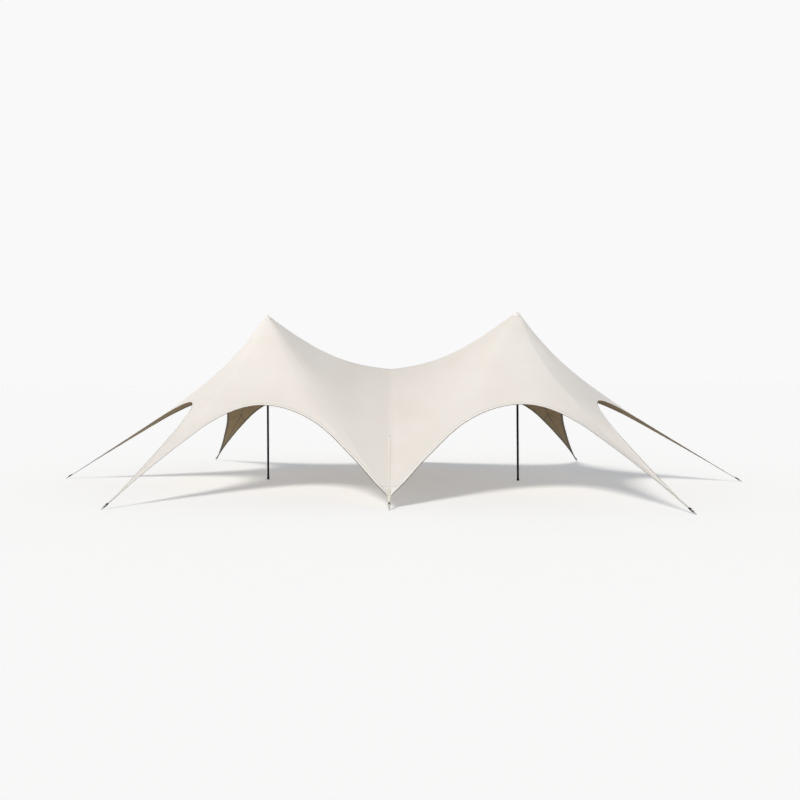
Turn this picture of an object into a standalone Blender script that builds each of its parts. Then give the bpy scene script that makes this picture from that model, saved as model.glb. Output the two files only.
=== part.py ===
"""Stretch tent: a star-shaped canopy on two masts, pulled tight over eight arms.

Metres, +Z up. The origin is on the ground midway between the masts, which stand on the X axis.
The front of the tent faces -Y. Every arm ends in a strap, a ratchet and a ground anchor.
"""
import math
from typing import NamedTuple

import bmesh
import bpy
import numpy as np
from mathutils import Matrix, Vector

# Driving dimensions
PEAK_HEIGHT = 4.30          # ground to the point of each peak cap
MAST_SPACING = 6.40         # between the two mast axes
ARM_REACH = 5.45            # mast axis to the anchor of an end or corner arm, in plan
CORNER_ANGLE = math.radians(62.0)   # corner arm from the end arm, in plan
MIDDLE_REACH = 4.62         # ridge line to the anchor of a middle arm, in plan
CLOTH_THICKNESS = 0.004
GAP = 0.0003                # between neighbouring pieces

# The canopy is a net of threads round each mast: rings, crossed by threads that run outwards
RINGS = 16
END_THREADS = 12            # between an end arm and a corner arm
SIDE_THREADS = 12           # between a corner arm and a middle arm
MIDDLE_THREADS = 8          # between a middle arm and the ridge

# Pull of each kind of thread for each metre of its length, where a plain outward thread has 1
RING_PULL_AT_PEAK = 2.4
RING_PULL_AT_HEM = 0.21
END_HEM_PULL = 0.19
SIDE_HEM_PULL = 0.04
HEM_PULL_GROWTH = 2.5       # a hem pulls harder towards the tips by up to this share
CENTRE_PULL = 2.6           # along the line where the two stars meet
END_SEAM_PULL = 3.0
CORNER_SEAM_PULL = 4.0
MIDDLE_SEAM_PULL = 60.0
RIDGE_PULL = 22.0
END_STRAP_PULL = 16.5
CORNER_STRAP_PULL = 15.0
MIDDLE_STRAP_PULL = 175.0

# Where the cloth stops and the strap takes over, back from the canopy's tip
LONG_TIP_CUT = 0.20         # on the slender end and corner arms
SHORT_TIP_CUT = 0.035       # on the blunt middle arms

# Peak cap and mast
PEAK_RING_RADIUS = 0.042
PEAK_RING_DROP = 0.045      # below the cap's point
CAP_SHARE = 0.5             # of the way from the peak ring to the next ring
MAST_RADIUS = 0.0275
HEAD_RADIUS = 0.030
HEAD_CONE = 0.040
HEAD_LENGTH = 0.130
FOOT_RADIUS = 0.033
FOOT_HEEL_RADIUS = 0.036
FOOT_HEEL = 0.012
FOOT_HEIGHT = 0.060
FOOT_FLOOR = 0.015
ROUND_SIDES = 20

# Arm hardware, in line from the anchor's foot on the ground up to the cloth
ANCHOR_RADIUS = 0.008
ANCHOR_REACH = 0.075        # from the ground up to the ratchet, along the line
ANCHOR_SIDES = 12
RATCHET_LENGTH = 0.118
RATCHET_WIDTH = 0.046
STRAP_WIDTH = 0.040
STRAP_THICKNESS = 0.005
SHARP_EDGE = math.radians(40.0)     # edges that turn by more than this aren't shaded smooth

# Plain colours: linear red, green, blue, then metallic and roughness
CREAM_CLOTH = ((0.80, 0.76, 0.69), 0.0, 0.75)
CREAM_WEBBING = ((0.62, 0.58, 0.50), 0.0, 0.85)
BLACK_STEEL = ((0.02, 0.02, 0.02), 0.6, 0.45)
BLACK_RUBBER = ((0.015, 0.015, 0.015), 0.0, 0.8)
ZINC = ((0.45, 0.45, 0.44), 1.0, 0.4)

# Threads of the net that carry a seam
END_SEAM = 0
CORNER_SEAM = END_THREADS
MIDDLE_SEAM = END_THREADS + SIDE_THREADS
RIDGE = END_THREADS + SIDE_THREADS + MIDDLE_THREADS

MAST_X = MAST_SPACING / 2.0


class Arm(NamedTuple):
    """One kind of arm, in the quarter of the tent at +X +Y."""

    seam: int
    anchor: tuple
    strap_pull: float
    tip_cut: float


END_ARM = Arm(END_SEAM, (MAST_X + ARM_REACH, 0.0, 0.0), END_STRAP_PULL, LONG_TIP_CUT)
CORNER_ARM = Arm(
    CORNER_SEAM,
    (MAST_X + ARM_REACH * math.cos(CORNER_ANGLE), ARM_REACH * math.sin(CORNER_ANGLE), 0.0),
    CORNER_STRAP_PULL,
    LONG_TIP_CUT,
)
MIDDLE_ARM = Arm(MIDDLE_SEAM, (0.0, MIDDLE_REACH, 0.0), MIDDLE_STRAP_PULL, SHORT_TIP_CUT)


def clear_scene():
    """Remove whatever the scene holds."""
    for found in list(bpy.data.objects):
        bpy.data.objects.remove(found, do_unlink=True)


def new_collection(name):
    """A collection linked to the scene."""
    collection = bpy.data.collections.new(name)
    bpy.context.scene.collection.children.link(collection)
    return collection


def material(name, look):
    """A Principled material from a colour, a metallic value and a roughness."""
    colour, metallic, roughness = look
    made = bpy.data.materials.new(name)
    made.use_nodes = True
    shader = made.node_tree.nodes["Principled BSDF"]
    shader.inputs["Base Color"].default_value = (*colour, 1.0)
    shader.inputs["Metallic"].default_value = metallic
    shader.inputs["Roughness"].default_value = roughness
    return made


def add_object(name, data, look, collection):
    """Put a mesh or a curve in the scene as a named, coloured object."""
    made = bpy.data.objects.new(name, data)
    data.materials.append(material(name, look))
    collection.objects.link(made)
    return made


def mesh_from(name, shape):
    """Turn a bmesh into a mesh and free it."""
    mesh = bpy.data.meshes.new(name)
    shape.to_mesh(mesh)
    shape.free()
    return mesh


# Form of the canopy

def peak_ring():
    """The net's first ring, on the mast head: one point for each thread."""
    turns = np.concatenate([
        np.linspace(0.0, CORNER_ANGLE, END_THREADS + 1),
        np.linspace(CORNER_ANGLE, 2.0 * CORNER_ANGLE, SIDE_THREADS + 1)[1:],
        np.linspace(2.0 * CORNER_ANGLE, math.pi, MIDDLE_THREADS + 1)[1:],
    ])
    across = MAST_X + PEAK_RING_RADIUS * np.cos(turns)
    back = PEAK_RING_RADIUS * np.sin(turns)
    height = np.full_like(turns, PEAK_HEIGHT - CLOTH_THICKNESS - PEAK_RING_DROP)
    return np.stack([across, back, height], axis=1)


def outward_pull(thread):
    """Pull of an outward thread. One in a plane of symmetry belongs half to this quarter."""
    pulls = {
        END_SEAM: END_SEAM_PULL / 2.0,
        CORNER_SEAM: CORNER_SEAM_PULL,
        MIDDLE_SEAM: MIDDLE_SEAM_PULL,
        RIDGE: RIDGE_PULL / 2.0,
    }
    return pulls.get(thread, 1.0)


def ring_pull(ring, thread):
    """Pull of the stretch of a ring from one thread to the next. The last ring is the hem."""
    if ring < RINGS:
        return RING_PULL_AT_PEAK + (RING_PULL_AT_HEM - RING_PULL_AT_PEAK) * ring / RINGS
    if thread >= MIDDLE_SEAM:
        return CENTRE_PULL / 2.0
    if thread >= CORNER_SEAM:
        pull, share = SIDE_HEM_PULL, (thread + 0.5 - CORNER_SEAM) / SIDE_THREADS
    else:
        pull, share = END_HEM_PULL, (thread + 0.5) / END_THREADS
    return pull * (1.0 + HEM_PULL_GROWTH * abs(2.0 * share - 1.0) ** 4)


def canopy_net():
    """Nodes of the canopy in balance, as [ring, thread, xyz], for the quarter at +X +Y.

    A free node lies where the pulls of its threads cancel, which gives one set of linear equations
    for each coordinate. The mast head and the anchors are fixed, and the planes of symmetry hold
    the nodes that lie on them.
    """
    arms = (END_ARM, CORNER_ARM, MIDDLE_ARM)
    shape = (RINGS + 1, RIDGE + 1)
    count = shape[0] * shape[1]
    number = np.arange(count).reshape(shape)
    nodes = np.zeros((count + len(arms), 3))
    held = np.zeros((count + len(arms), 3), dtype=bool)
    balance = np.zeros((count + len(arms), count + len(arms)))

    def add_thread(one, other, pull):
        balance[one, one] += pull
        balance[other, other] += pull
        balance[one, other] -= pull
        balance[other, one] -= pull

    for ring in range(RINGS):
        for thread in range(RIDGE + 1):
            add_thread(number[ring, thread], number[ring + 1, thread], outward_pull(thread))
    for ring in range(1, RINGS + 1):
        for thread in range(RIDGE):
            add_thread(number[ring, thread], number[ring, thread + 1], ring_pull(ring, thread))
    for place, arm in enumerate(arms, start=count):
        nodes[place] = arm.anchor
        held[place] = True
        on_symmetry_plane = 0.0 in arm.anchor[:2]
        pull = arm.strap_pull / 2.0 if on_symmetry_plane else arm.strap_pull
        add_thread(number[RINGS, arm.seam], place, pull)

    nodes[number[0]] = peak_ring()
    held[number[0]] = True
    held[number[:, END_SEAM], 1] = True
    held[number[:, RIDGE], 1] = True
    held[number[RINGS, MIDDLE_SEAM:], 0] = True
    for axis in range(3):
        free = np.flatnonzero(~held[:, axis])
        fixed = np.flatnonzero(held[:, axis])
        load = -balance[np.ix_(free, fixed)] @ nodes[fixed, axis]
        nodes[free, axis] = np.linalg.solve(balance[np.ix_(free, free)], load)
    return nodes[:count].reshape(*shape, 3)


def cap_rim(net):
    """The line where the peak cap meets the panels, one point for each thread."""
    return net[0] + (net[1] - net[0]) * CAP_SHARE


# Canopy panels

def unit(vectors):
    """Vectors made one metre long."""
    return vectors / np.linalg.norm(vectors, axis=-1, keepdims=True)


def drawn_in(border, neighbour):
    """A border line moved into its panel by half a gap, square to itself."""
    along = unit(np.gradient(border, axis=0))
    across = neighbour - border
    across -= np.sum(across * along, axis=1, keepdims=True) * along
    return border + unit(across) * GAP / 2.0


def panel_grid(net, first, last):
    """Nodes of the cloth between two seams, with small gaps left along the seams and the cap."""
    cloth = net[:, first:last + 1].copy()
    cloth[0] = cap_rim(net)[first:last + 1]
    cloth[0] += unit(cloth[1] - cloth[0]) * GAP
    grid = cloth.copy()
    grid[:, 0] = drawn_in(cloth[:, 0], cloth[:, 1])
    grid[:, -1] = drawn_in(cloth[:, -1], cloth[:, -2])
    return grid


def cut_corner(tip, target, arm):
    """The point on the way from a tip to a target where the cloth is cut off square to the strap."""
    inward = unit(tip - np.array(arm.anchor))
    step = unit(target - tip)
    return tip + step * arm.tip_cut / np.dot(step, inward)


def add_grid(shape, grid, signs, first_arm, last_arm):
    """Add a grid of cloth to a bmesh, mirrored by the signs of x, y and z.

    first_arm and last_arm are the arms whose tips lie at the two outer corners, or None.
    """
    last = grid.shape[1] - 1
    places = grid.copy()
    hem_cuts = {}
    for corner, beside, arm in ((0, 1, first_arm), (last, last - 1, last_arm)):
        if arm is None:
            continue
        tip = grid[RINGS, corner]
        places[RINGS, corner] = cut_corner(tip, grid[RINGS - 1, corner], arm)
        hem_cut = cut_corner(tip, grid[RINGS, beside], arm)
        hem_cuts[min(corner, beside)] = shape.verts.new(hem_cut * signs)
    points = [[shape.verts.new(place * signs) for place in row] for row in places]
    for ring in range(RINGS):
        for thread in range(last):
            inner = [points[ring][thread + 1], points[ring][thread]]
            outer = [points[ring + 1][thread], points[ring + 1][thread + 1]]
            if ring == RINGS - 1 and thread in hem_cuts:
                outer.insert(1, hem_cuts[thread])
            loop = inner + outer
            shape.faces.new(loop if signs[0] * signs[1] > 0 else loop[::-1])


def cloth_object(name, shape, collection):
    """A cloth object from an open surface, given its thickness on the outer side."""
    mesh = mesh_from(name, shape)
    mesh.shade_smooth()
    made = add_object(name, mesh, CREAM_CLOTH, collection)
    thickness = made.modifiers.new("Thickness", "SOLIDIFY")
    thickness.thickness = CLOTH_THICKNESS
    thickness.offset = 1.0
    return made


def add_panels(net, collection):
    """The ten panels: four at the ends, four at the sides and two between the masts."""
    end_grid = panel_grid(net, END_SEAM, CORNER_SEAM)
    side_grid = panel_grid(net, CORNER_SEAM, MIDDLE_SEAM)
    middle_grid = panel_grid(net, MIDDLE_SEAM, RIDGE)
    middle_grid[RINGS, :, 0] = 0.0
    panels = []
    for y_sign, y_word in ((-1.0, "front"), (1.0, "rear")):
        middle_shape = bmesh.new()
        for x_sign, x_word in ((-1.0, "left"), (1.0, "right")):
            signs = np.array((x_sign, y_sign, 1.0))
            end_shape = bmesh.new()
            add_grid(end_shape, end_grid, signs, END_ARM, CORNER_ARM)
            panels.append(cloth_object(f"{x_word}_end_{y_word}_panel", end_shape, collection))
            side_shape = bmesh.new()
            add_grid(side_shape, side_grid, signs, CORNER_ARM, MIDDLE_ARM)
            panels.append(cloth_object(f"{y_word}_{x_word}_panel", side_shape, collection))
            add_grid(middle_shape, middle_grid, signs, MIDDLE_ARM, None)
        bmesh.ops.remove_doubles(middle_shape, verts=middle_shape.verts[:], dist=GAP / 10.0)
        panels.append(cloth_object(f"{y_word}_middle_panel", middle_shape, collection))
    return panels


def add_peak_cap(name, net, x_sign, collection):
    """The cap over a mast head: a closed point, with a skirt down to the panels."""
    rim = cap_rim(net)
    threads = [(thread, 1.0) for thread in range(RIDGE + 1)]
    threads += [(thread, -1.0) for thread in range(RIDGE - 1, 0, -1)]
    shape = bmesh.new()
    point = shape.verts.new((x_sign * MAST_X, 0.0, PEAK_HEIGHT - CLOTH_THICKNESS))
    upper = [shape.verts.new(net[0, thread] * (x_sign, y_sign, 1.0)) for thread, y_sign in threads]
    lower = [shape.verts.new(rim[thread] * (x_sign, y_sign, 1.0)) for thread, y_sign in threads]
    for here in range(len(threads)):
        there = (here + 1) % len(threads)
        fan = [point, upper[here], upper[there]]
        skirt = [upper[here], lower[here], lower[there], upper[there]]
        for loop in (fan, skirt):
            shape.faces.new(loop if x_sign > 0 else loop[::-1])
    return cloth_object(name, shape, collection)


# Masts

def turned(name, profile, place, look, collection):
    """A solid of revolution about +Z from (radius, height) points, whose outer side runs downwards."""
    shape = bmesh.new()
    line = [shape.verts.new((radius, 0.0, height)) for radius, height in profile]
    for one, other in zip(line, line[1:]):
        shape.edges.new((one, other))
    made = add_object(name, mesh_from(name, shape), look, collection)
    screw = made.modifiers.new("Turn", "SCREW")
    screw.steps = ROUND_SIDES
    screw.render_steps = ROUND_SIDES
    screw.use_merge_vertices = True
    screw.merge_threshold = 0.00001
    made.location = place
    return made


def add_mast(side, x, collection):
    """Foot, tube and head of one mast: the tube stands in the foot and the head carries the cap."""
    place = (x, 0.0, 0.0)
    turned(f"{side}_mast_foot", [
        (0.0, FOOT_FLOOR),
        (MAST_RADIUS + GAP, FOOT_FLOOR),
        (MAST_RADIUS + GAP, FOOT_HEIGHT),
        (FOOT_RADIUS, FOOT_HEIGHT),
        (FOOT_RADIUS, 2.0 * FOOT_HEEL),
        (FOOT_HEEL_RADIUS, FOOT_HEEL),
        (FOOT_HEEL_RADIUS, 0.0),
        (0.0, 0.0),
    ], place, BLACK_RUBBER, collection)
    head_top = PEAK_HEIGHT - CLOTH_THICKNESS - GAP
    head_bottom = head_top - HEAD_LENGTH
    turned(f"{side}_mast_tube", [
        (0.0, head_bottom - GAP),
        (MAST_RADIUS, head_bottom - GAP),
        (MAST_RADIUS, FOOT_FLOOR + GAP),
        (0.0, FOOT_FLOOR + GAP),
    ], place, BLACK_STEEL, collection)
    turned(f"{side}_mast_head", [
        (0.0, head_top),
        (HEAD_RADIUS, head_top - HEAD_CONE),
        (HEAD_RADIUS, head_bottom),
        (0.0, head_bottom),
    ], place, BLACK_RUBBER, collection)


# Arm hardware

def arm_frame(tip, anchor):
    """A frame at an anchor's foot: +X runs up the strap to the tip, +Y is level, +Z is up from it."""
    along = (tip - anchor).normalized()
    level = Vector((0.0, 0.0, 1.0)).cross(along).normalized()
    frame = Matrix((along, level, along.cross(level))).transposed().to_4x4()
    frame.translation = anchor
    return frame


def ratchet_outline():
    """Side outline of a closed ratchet from the anchor's end: base plate, drum and folded handle."""
    length = RATCHET_LENGTH
    return [
        (0.0, -0.006), (0.15 * length, -0.010), (0.45 * length, -0.012), (length, -0.006),
        (length, 0.006), (0.95 * length, 0.013), (0.66 * length, 0.017), (0.54 * length, 0.024),
        (0.38 * length, 0.028), (0.22 * length, 0.024), (0.14 * length, 0.012), (0.0, 0.006),
    ]


def add_ratchet(name, frame, collection):
    """The ratchet: its side outline, upright in line with the strap, extruded to its width."""
    outline = ratchet_outline()
    curve = bpy.data.curves.new(name, "CURVE")
    curve.dimensions = "2D"
    curve.fill_mode = "BOTH"
    curve.extrude = RATCHET_WIDTH / 2.0
    spline = curve.splines.new("POLY")
    spline.points.add(len(outline) - 1)
    for point, (x, y) in zip(spline.points, outline):
        point.co = (x, y, 0.0, 1.0)
    spline.use_cyclic_u = True
    made = add_object(name, curve, BLACK_STEEL, collection)
    upright = Matrix.Rotation(math.radians(90.0), 4, "X")
    made.matrix_world = frame @ Matrix.Translation((ANCHOR_REACH + GAP, 0.0, 0.0)) @ upright
    return made


def add_strap(name, frame, cloth_end, collection):
    """The webbing from the ratchet up to the end of the cloth."""
    start = ANCHOR_REACH + RATCHET_LENGTH + 2.0 * GAP
    shape = bmesh.new()
    bmesh.ops.create_cube(shape, size=1.0)
    size = Vector((cloth_end - GAP - start, STRAP_WIDTH, STRAP_THICKNESS))
    middle = Vector((start + size.x / 2.0, 0.0, 0.0))
    place = Matrix.Translation(middle) @ Matrix.Diagonal((*size, 1.0))
    bmesh.ops.transform(shape, matrix=place, verts=shape.verts[:])
    made = add_object(name, mesh_from(name, shape), CREAM_WEBBING, collection)
    made.matrix_world = frame
    return made


def add_anchor(name, frame, collection):
    """The anchor's rod below the ratchet, cut off level where it enters the ground."""
    shape = bmesh.new()
    bmesh.ops.create_cone(
        shape, cap_ends=True, segments=ANCHOR_SIDES,
        radius1=ANCHOR_RADIUS, radius2=ANCHOR_RADIUS, depth=ANCHOR_REACH)
    along_x = Matrix.Rotation(math.radians(90.0), 4, "Y")
    middle = Matrix.Translation((ANCHOR_REACH / 2.0, 0.0, 0.0))
    bmesh.ops.transform(shape, matrix=frame @ middle @ along_x, verts=shape.verts[:])
    axis = frame.to_3x3() @ Vector((1.0, 0.0, 0.0))
    for vert in shape.verts:
        if (vert.co - frame.translation).dot(axis) < ANCHOR_REACH / 2.0:
            vert.co -= axis * (vert.co.z / axis.z)
            vert.co.z = 0.0
    mesh = mesh_from(name, shape)
    mesh.shade_smooth()
    mesh.set_sharp_from_angle(angle=SHARP_EDGE)
    return add_object(name, mesh, ZINC, collection)


def cloth_end(frame, arm, tip, panels):
    """How far up an arm's line the nearest cloth lies, measured from the anchor's foot."""
    inverse = frame.inverted()
    depsgraph = bpy.context.evaluated_depsgraph_get()
    near_tip = 2.0 * arm.tip_cut
    found = []
    for panel in panels:
        for vert in panel.evaluated_get(depsgraph).data.vertices:
            if (vert.co - tip).length < near_tip:
                found.append((inverse @ vert.co).x)
    return min(found)


def add_arm(name, arm, signs, net, panels, collection):
    """Strap, ratchet and anchor of one arm, mirrored by the signs of x, y and z."""
    tip = Vector(net[RINGS, arm.seam] * signs)
    anchor = Vector(np.array(arm.anchor) * signs)
    frame = arm_frame(tip, anchor)
    add_strap(f"{name}_strap", frame, cloth_end(frame, arm, tip, panels), collection)
    add_ratchet(f"{name}_ratchet", frame, collection)
    add_anchor(f"{name}_anchor", frame, collection)


def add_arms(net, panels, collection):
    """The hardware of all eight arms."""
    for x_sign, x_word in ((-1.0, "left"), (1.0, "right")):
        add_arm(f"{x_word}_end", END_ARM, (x_sign, 1.0, 1.0), net, panels, collection)
        for y_sign, y_word in ((-1.0, "front"), (1.0, "rear")):
            add_arm(f"{y_word}_{x_word}", CORNER_ARM, (x_sign, y_sign, 1.0), net, panels, collection)
    for y_sign, y_word in ((-1.0, "front"), (1.0, "rear")):
        add_arm(f"{y_word}_middle", MIDDLE_ARM, (1.0, y_sign, 1.0), net, panels, collection)


def main():
    """Build the whole tent."""
    clear_scene()
    collection = new_collection("stretch_tent")
    net = canopy_net()
    panels = add_panels(net, collection)
    for side, x_sign in (("left", -1.0), ("right", 1.0)):
        add_peak_cap(f"{side}_peak_cap", net, x_sign, collection)
        add_mast(side, x_sign * MAST_X, collection)
    add_arms(net, panels, collection)


main()
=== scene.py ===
"""Dressed model of a stretch tent with two peaks and eight arms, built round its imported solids.

Metres, +Z up. The masts stand on the X axis and the front of the tent faces -Y. The canopy is the
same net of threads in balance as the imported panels, drawn finer and as one sheet.
"""
import logging
import math
from collections.abc import Callable, Iterator, Sequence
from contextlib import contextmanager
from dataclasses import dataclass, field
from enum import Enum

import bmesh
import bpy
import numpy as np
from mathutils import Matrix, Vector
from mathutils.bvhtree import BVHTree


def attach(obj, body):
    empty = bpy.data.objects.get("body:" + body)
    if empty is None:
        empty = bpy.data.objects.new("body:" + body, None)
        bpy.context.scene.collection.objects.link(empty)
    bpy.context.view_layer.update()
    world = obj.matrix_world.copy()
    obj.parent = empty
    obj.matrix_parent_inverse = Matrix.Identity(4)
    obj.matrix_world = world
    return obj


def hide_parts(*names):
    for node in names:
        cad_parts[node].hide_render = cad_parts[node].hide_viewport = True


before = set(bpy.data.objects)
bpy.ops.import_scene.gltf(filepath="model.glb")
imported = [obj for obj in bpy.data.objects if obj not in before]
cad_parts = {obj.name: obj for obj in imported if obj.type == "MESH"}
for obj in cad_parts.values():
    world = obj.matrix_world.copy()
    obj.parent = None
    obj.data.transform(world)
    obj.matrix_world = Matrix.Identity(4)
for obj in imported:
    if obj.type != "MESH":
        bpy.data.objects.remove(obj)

Piece = bpy.types.Object
Tree = bpy.types.NodeTree
Node = bpy.types.Node
Socket = bpy.types.NodeSocket
Surface = bmesh.types.BMesh
Pair = tuple[float, float]
Triple = tuple[float, float, float]
Corners = tuple[tuple[int, int], ...]

LOG = logging.getLogger("stretch_tent")
BODY = "root"
MM = 0.001
TINY = 1e-9                     # least length that anything is divided by
AXIAL = 0.9                     # least part of a normal or an edge along an axis that counts as along it
CLOTH_THICKNESS = 1.6 * MM      # outer cloth and lining together
OUT = CLOTH_THICKNESS           # rise of the outer face from the lining face
UP = Vector((0.0, 0.0, 1.0))
QUARTER_TURN = math.radians(90.0)
MIRROR_X = (-1.0, 1.0, 1.0)
MIRROR_Y = (1.0, -1.0, 1.0)
SIDES = (-1.0, 1.0)
FRONT, REAR = LEFT, RIGHT = SIDES
Y_WORDS = {FRONT: "front", REAR: "rear"}
X_WORDS = {LEFT: "left", RIGHT: "right"}


# Small tools for modelling

def take(*pieces: Piece) -> None:
    """Select some pieces alone, and make the first one active.

    Args:
        *pieces: The pieces. Where there are none, nothing is left selected.
    """
    bpy.ops.object.select_all(action="DESELECT")
    for piece in pieces:
        piece.select_set(True)
    if pieces:
        bpy.context.view_layer.objects.active = pieces[0]


def called(piece: Piece, name: str) -> Piece:
    """Name a piece and its mesh."""
    piece.name = piece.data.name = name
    return piece


def newest(name: str) -> Piece:
    """Name the piece that an operator just added, and settle its place into its mesh.

    Args:
        name: The piece's name.

    Returns:
        The piece.
    """
    piece = called(bpy.context.active_object, name)
    take(piece)
    bpy.ops.object.transform_apply(location=True, rotation=True, scale=True)
    return piece


@contextmanager
def editing(piece: Piece) -> Iterator[None]:
    """Open a piece in edit mode, with nothing selected in it at the start.

    Args:
        piece: The piece.

    Returns:
        The context in which it is open.
    """
    take(piece)
    bpy.ops.object.mode_set(mode="EDIT")
    bpy.ops.mesh.select_all(action="DESELECT")
    yield
    bpy.ops.object.mode_set(mode="OBJECT")


def pick(piece: Piece, test: Callable[..., bool], edges: bool = False) -> None:
    """Select exactly the faces, or edges, that pass a test, in edit mode.

    Args:
        piece: The piece that is being edited.
        test: Says whether a face or an edge is wanted.
        edges: Whether edges are picked, and not faces.
    """
    bpy.context.tool_settings.mesh_select_mode = (False, edges, not edges)
    shape = bmesh.from_edit_mesh(piece.data)
    parts = shape.edges if edges else shape.faces
    for part in parts:
        part.select_set(False)
    for part in parts:
        if test(part):
            part.select_set(True)
    bmesh.update_edit_mesh(piece.data)


def round_edges(piece: Piece, width: float, segments: int = 2, sharp: float = 40.0) -> None:
    """Round the edges of a piece that turn by more than some degrees, for good.

    Args:
        piece: The piece.
        width: Width of the rounding.
        segments: Number of faces across it.
        sharp: Least turn of an edge that is rounded, in degrees.
    """
    take(piece)
    rounded = piece.modifiers.new("Rounded", "BEVEL")
    rounded.width = width
    rounded.segments = segments
    rounded.limit_method = "ANGLE"
    rounded.angle_limit = math.radians(sharp)
    bpy.ops.object.modifier_apply(modifier=rounded.name)


def smooth(piece: Piece, sharp: float = 35.0) -> None:
    """Shade a piece smooth but for edges that turn by more than some degrees."""
    take(piece)
    bpy.ops.object.shade_smooth_by_angle(angle=math.radians(sharp))


def joined(name: str, *pieces: Piece) -> Piece:
    """Join pieces into the first one.

    Args:
        name: The name of the whole.
        *pieces: The pieces.

    Returns:
        The whole.
    """
    take(*pieces)
    bpy.ops.object.join()
    return called(pieces[0], name)


def moved(piece: Piece, place: Matrix) -> Piece:
    """Move a piece by moving its mesh, so that its object stays at the origin."""
    piece.data.transform(place)
    return piece


def copied(piece: Piece, name: str, place: Matrix) -> Piece:
    """Copy a piece with a mesh of its own.

    Args:
        piece: The piece.
        name: The copy's name.
        place: Where the copy goes.

    Returns:
        The copy.
    """
    twin = piece.copy()
    twin.data = piece.data.copy()
    bpy.context.scene.collection.objects.link(twin)
    return moved(called(twin, name), place)


def hand_over(piece: Piece, slot: str, *nodes: str) -> Piece:
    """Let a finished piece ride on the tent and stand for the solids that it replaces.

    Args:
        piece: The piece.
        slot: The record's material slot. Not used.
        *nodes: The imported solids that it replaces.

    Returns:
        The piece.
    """
    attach(piece, BODY)
    if nodes:
        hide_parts(*nodes)
    LOG.info("%s: %d faces", piece.name, len(piece.data.polygons))
    return piece


def skin(shape: Surface, points: Sequence, uv: Callable[[int, int], Pair], corners: Corners,
         spans: int) -> list[bmesh.types.BMFace]:
    """Cover a grid of points with smooth faces, and give them their place on the UV map.

    Args:
        shape: The surface that they are added to.
        points: The grid, as rows of points.
        uv: The place on the map of the point at some row and column.
        corners: A face's corners in their order, as steps down and across from its first point.
        spans: Number of faces in a row; as many as a row has points where it is closed.

    Returns:
        The faces, row by row.
    """
    metres = shape.loops.layers.uv.get("metres") or shape.loops.layers.uv.new("metres")
    verts = [[shape.verts.new(point) for point in row] for row in points]
    faces = []
    for row in range(len(verts) - 1):
        for column in range(spans):
            places = [(row + down, column + across) for down, across in corners]
            face = shape.faces.new([verts[r][c % len(verts[r])] for r, c in places])
            face.smooth = True
            for loop, place in zip(face.loops, places):
                loop[metres].uv = uv(*place)
            faces.append(face)
    return faces


def open_surface(name: str, shape: Surface) -> Piece:
    """Make a piece from a surface made in code.

    Args:
        name: The piece's name.
        shape: The surface, which is then done with.

    Returns:
        The piece.
    """
    mesh = bpy.data.meshes.new(name)
    shape.to_mesh(mesh)
    shape.free()
    piece = bpy.data.objects.new(name, mesh)
    bpy.context.scene.collection.objects.link(piece)
    return piece


def thicken(piece: Piece, wall: float, inner_look: int = 0, edge_look: int = 0) -> None:
    """Give an open surface its wall, on the side that its faces point to.

    Args:
        piece: The surface.
        wall: Thickness of the wall.
        inner_look: Steps to the material slot of the faces inside.
        edge_look: Steps to the material slot of the wall's edge.
    """
    body = piece.modifiers.new("Wall", "SOLIDIFY")
    body.thickness = wall
    body.offset = 1.0
    body.material_offset = inner_look
    body.material_offset_rim = edge_look
    take(piece)
    bpy.ops.object.modifier_apply(modifier=body.name)


# Finishes

WAVE = 0.314        # length after which a wave texture of scale 1 repeats


def linear(hex_colour: str) -> tuple[float, float, float, float]:
    """Turn an sRGB hex colour into the linear colour that a shader takes."""
    shares = [int(hex_colour[start:start + 2], 16) / 255.0 for start in (1, 3, 5)]
    return (*(s / 12.92 if s <= 0.04045 else ((s + 0.055) / 1.055) ** 2.4 for s in shares), 1.0)


def result_of(source: Node | Socket) -> Socket:
    """Find the output with a node's plain result.

    Args:
        source: A node, or an output socket, which stands for itself.

    Returns:
        The socket.
    """
    if isinstance(source, Socket):
        return source
    return source.outputs.get("Fac") or next(socket for socket in source.outputs if socket.enabled)


def add_node(tree: Tree, kind: str, inputs: dict | None = None, feeds: Socket | None = None,
             **settings) -> Node:
    """Add a shader node.

    Args:
        tree: The material's node tree.
        kind: The node's type, without the words ShaderNode.
        inputs: For each input's name or number, a value, or the node or socket to link to it.
        feeds: The input that the node's result goes to.
        **settings: Properties of the node.

    Returns:
        The node.
    """
    node = tree.nodes.new(f"ShaderNode{kind}")
    for name, value in settings.items():
        setattr(node, name, value)
    for name, value in (inputs or {}).items():
        if isinstance(value, (Node, Socket)):
            tree.links.new(result_of(value), node.inputs[name])
        else:
            node.inputs[name].default_value = value
    if feeds is not None:
        tree.links.new(result_of(node), feeds)
    return node


def set_inputs(node: Node, values: dict) -> None:
    """Set a node's own sockets."""
    for name, value in values.items():
        node.inputs[name].default_value = value


@dataclass(frozen=True)
class Finish:
    """A finish with its own node tree. The kinds below say how the surface was made."""

    name: str
    colour: str
    roughness: float

    def build(self) -> bpy.types.Material:
        """Make the material.

        Returns:
            The material.
        """
        made = bpy.data.materials.new(self.name)
        made.use_nodes = True
        shader = made.node_tree.nodes["Principled BSDF"]
        set_inputs(shader, {"Base Color": linear(self.colour), "Roughness": self.roughness})
        self.surface(made.node_tree, shader)
        return made

    def surface(self, tree: Tree, shader: Node) -> None:
        """Add what this kind of surface shows."""


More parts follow.
